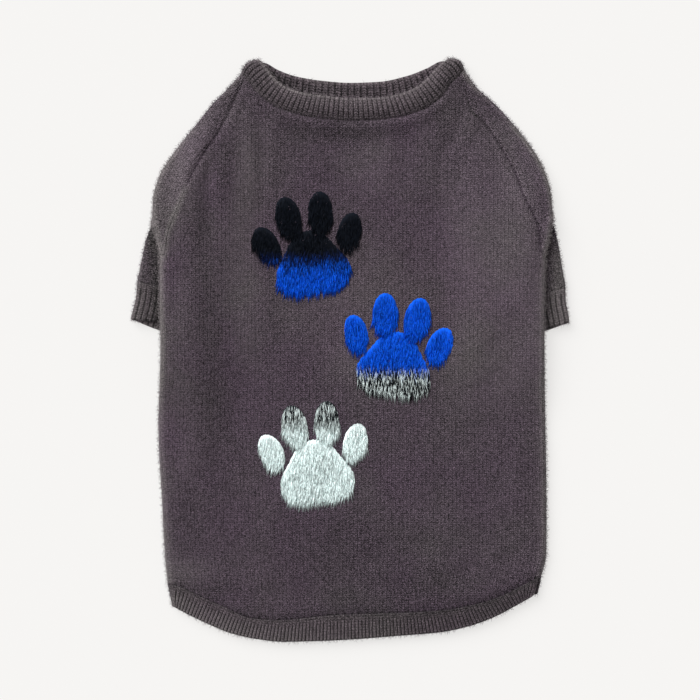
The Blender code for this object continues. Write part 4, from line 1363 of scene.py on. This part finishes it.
def motifMaterial():
    # down the back from black through blue and a black and white mix to mint
    finish = {"Roughness": 0.7, "Specular IOR Level": 0.1, "Sheen Weight": 0.02}
    material, shader, node = newMaterial("brushedPile", finish)
    tone = attribute(node, "tone")
    reach = motif["colourReach"]
    level = (attribute(node, "rootY") + (tone - 0.5) * motif["colourMix"] + reach) / (2 * reach)
    black, ink, blue = (0.002, 0.004, 0.009), (0.002, 0.014, 0.10), (0.0006, 0.106, 0.71)
    dark, pale, mint = (0.010, 0.013, 0.016), (0.66, 0.74, 0.73), (0.84, 0.95, 0.94)
    ramps = []
    for speck, low in ((dark, ink), (pale, blue)):
        colours = (mint, mint, speck, speck, blue, blue, low, black)
        rows = zip((-reach, -52, -44, -14, -8, 46, 56, 64), colours)
        stops = [((y + reach) / (2 * reach), colour) for y, colour in rows]
        ramps.append(node("ShaderNodeValToRGB", (level,), stops=stops))
    colour = mixed(node, tone.maths("GREATER_THAN", 0.52), *ramps)
    place = node("ShaderNodeTexCoord", output="Object")
    drawnOut = node("ShaderNodeVectorMath", (place, (1.0, 0.16, 1.0)), operation="MULTIPLY")
    fine = noise(node, 1300.0, Vector=drawnOut)
    colour.scaled(0.86 + tone * 0.3 + (fine - 0.5) * 0.6).into(shader, "Base Color")
    node("ShaderNodeBump", {"Strength": 0.6, "Distance": 0.0006, "Height": fine}).into(shader, "Normal")
    return material


pileYarn, brushedFibres = motifMaterial(), pileTree()
strandLine, strandSides = ((0, 0.03, -0.03), (0.01, -0.42, 0.09), (-0.02, -1.0, 0.01)), 3
strand = tubeShape("pileStrand", strandLine, (0.03, 0.032, 0.006), strandSides)
# a fibre's faces side by side on its patch of the baked map
patch = [
    ((k + right) / strandSides, (i + low) / 2)
    for i in range(2) for k in range(strandSides) for right, low in ((0, 0), (0, 1), (1, 1), (1, 0))
]
addMap(strand, "OFBake", patch + [(0, 0), (1 / 3, 0), (0, 1 / 2), (1, 1), (2 / 3, 1), (1, 1 / 2)])
for number, paw in enumerate(motif["paws"]):
    pad = motifMesh("pawPads" + str(number + 1), paw)
    pad.data.materials.append(pileYarn)
    pile = newObject("pawPile" + str(number + 1), pad.data.copy())
    given = {"Shape": strand, "Middle": paw[1], "Seed": 20 + number, "Material": pileYarn}
    applyTree(pile, brushedFibres, **given, **motif["pile"])
    finishPiece(pad, "raised_motif")
    finishPiece(pile, "raised_motif")
for shape in (looseEnd, link, strand):
    bpy.data.objects.remove(shape)
print("motif done")
# floor, lights and camera

studio = {
    "floor": (0.19, 0.188, 0.185, 1),
    "floorGlow": (0.708, 0.699, 0.688, 1),
    "floorCorner": (3000, 3000, -0.4),
    "sunFrom": (-0.52, 0.56, 0.62),
    "sunStrength": 4.0,
    "sunSpread": 50.0,
    "skyStrength": 0.32,
    "sky": (1.0, 0.995, 0.985, 1),
    "cameraAt": (0, -0.00064, 1.2504),
    "lens": 100,
}
corners = ((-1, -1, 1), (1, -1, 1), (1, 1, 1), (-1, 1, 1))
floor = newPiece("floor", np.array(corners) * studio["floorCorner"], [(0, 1, 2, 3)])
floorFinish = {
    "Base Color": studio["floor"], "Emission Color": studio["floorGlow"], "Emission Strength": 1.0,
    "Roughness": 0.9, "Specular IOR Level": 0.1,
}
floor.data.materials.append(newMaterial("paleFloor", floorFinish)[0])
print("floor laid")

sun = bpy.data.lights.new("softSun", "SUN")
sun.energy, sun.angle = studio["sunStrength"], math.radians(studio["sunSpread"])
sunX, sunY, sunZ = studio["sunFrom"]
turns = (math.atan2(math.hypot(sunX, sunY), sunZ), 0, math.atan2(sunX, -sunY))
newObject("softSun", sun).rotation_euler = turns
world = bpy.data.worlds.new("studio")
bpy.context.scene.world = world
world.use_nodes = True
sky = world.node_tree.nodes["Background"]
sky.inputs["Color"].default_value, sky.inputs["Strength"].default_value = studio["sky"], studio["skyStrength"]
bpy.context.scene.view_settings.view_transform = "Standard"

camera = newObject("camera", bpy.data.cameras.new("camera"))
camera.data.lens, camera.data.sensor_width = studio["lens"], 36
camera.location = studio["cameraAt"]
bpy.context.scene.camera = camera
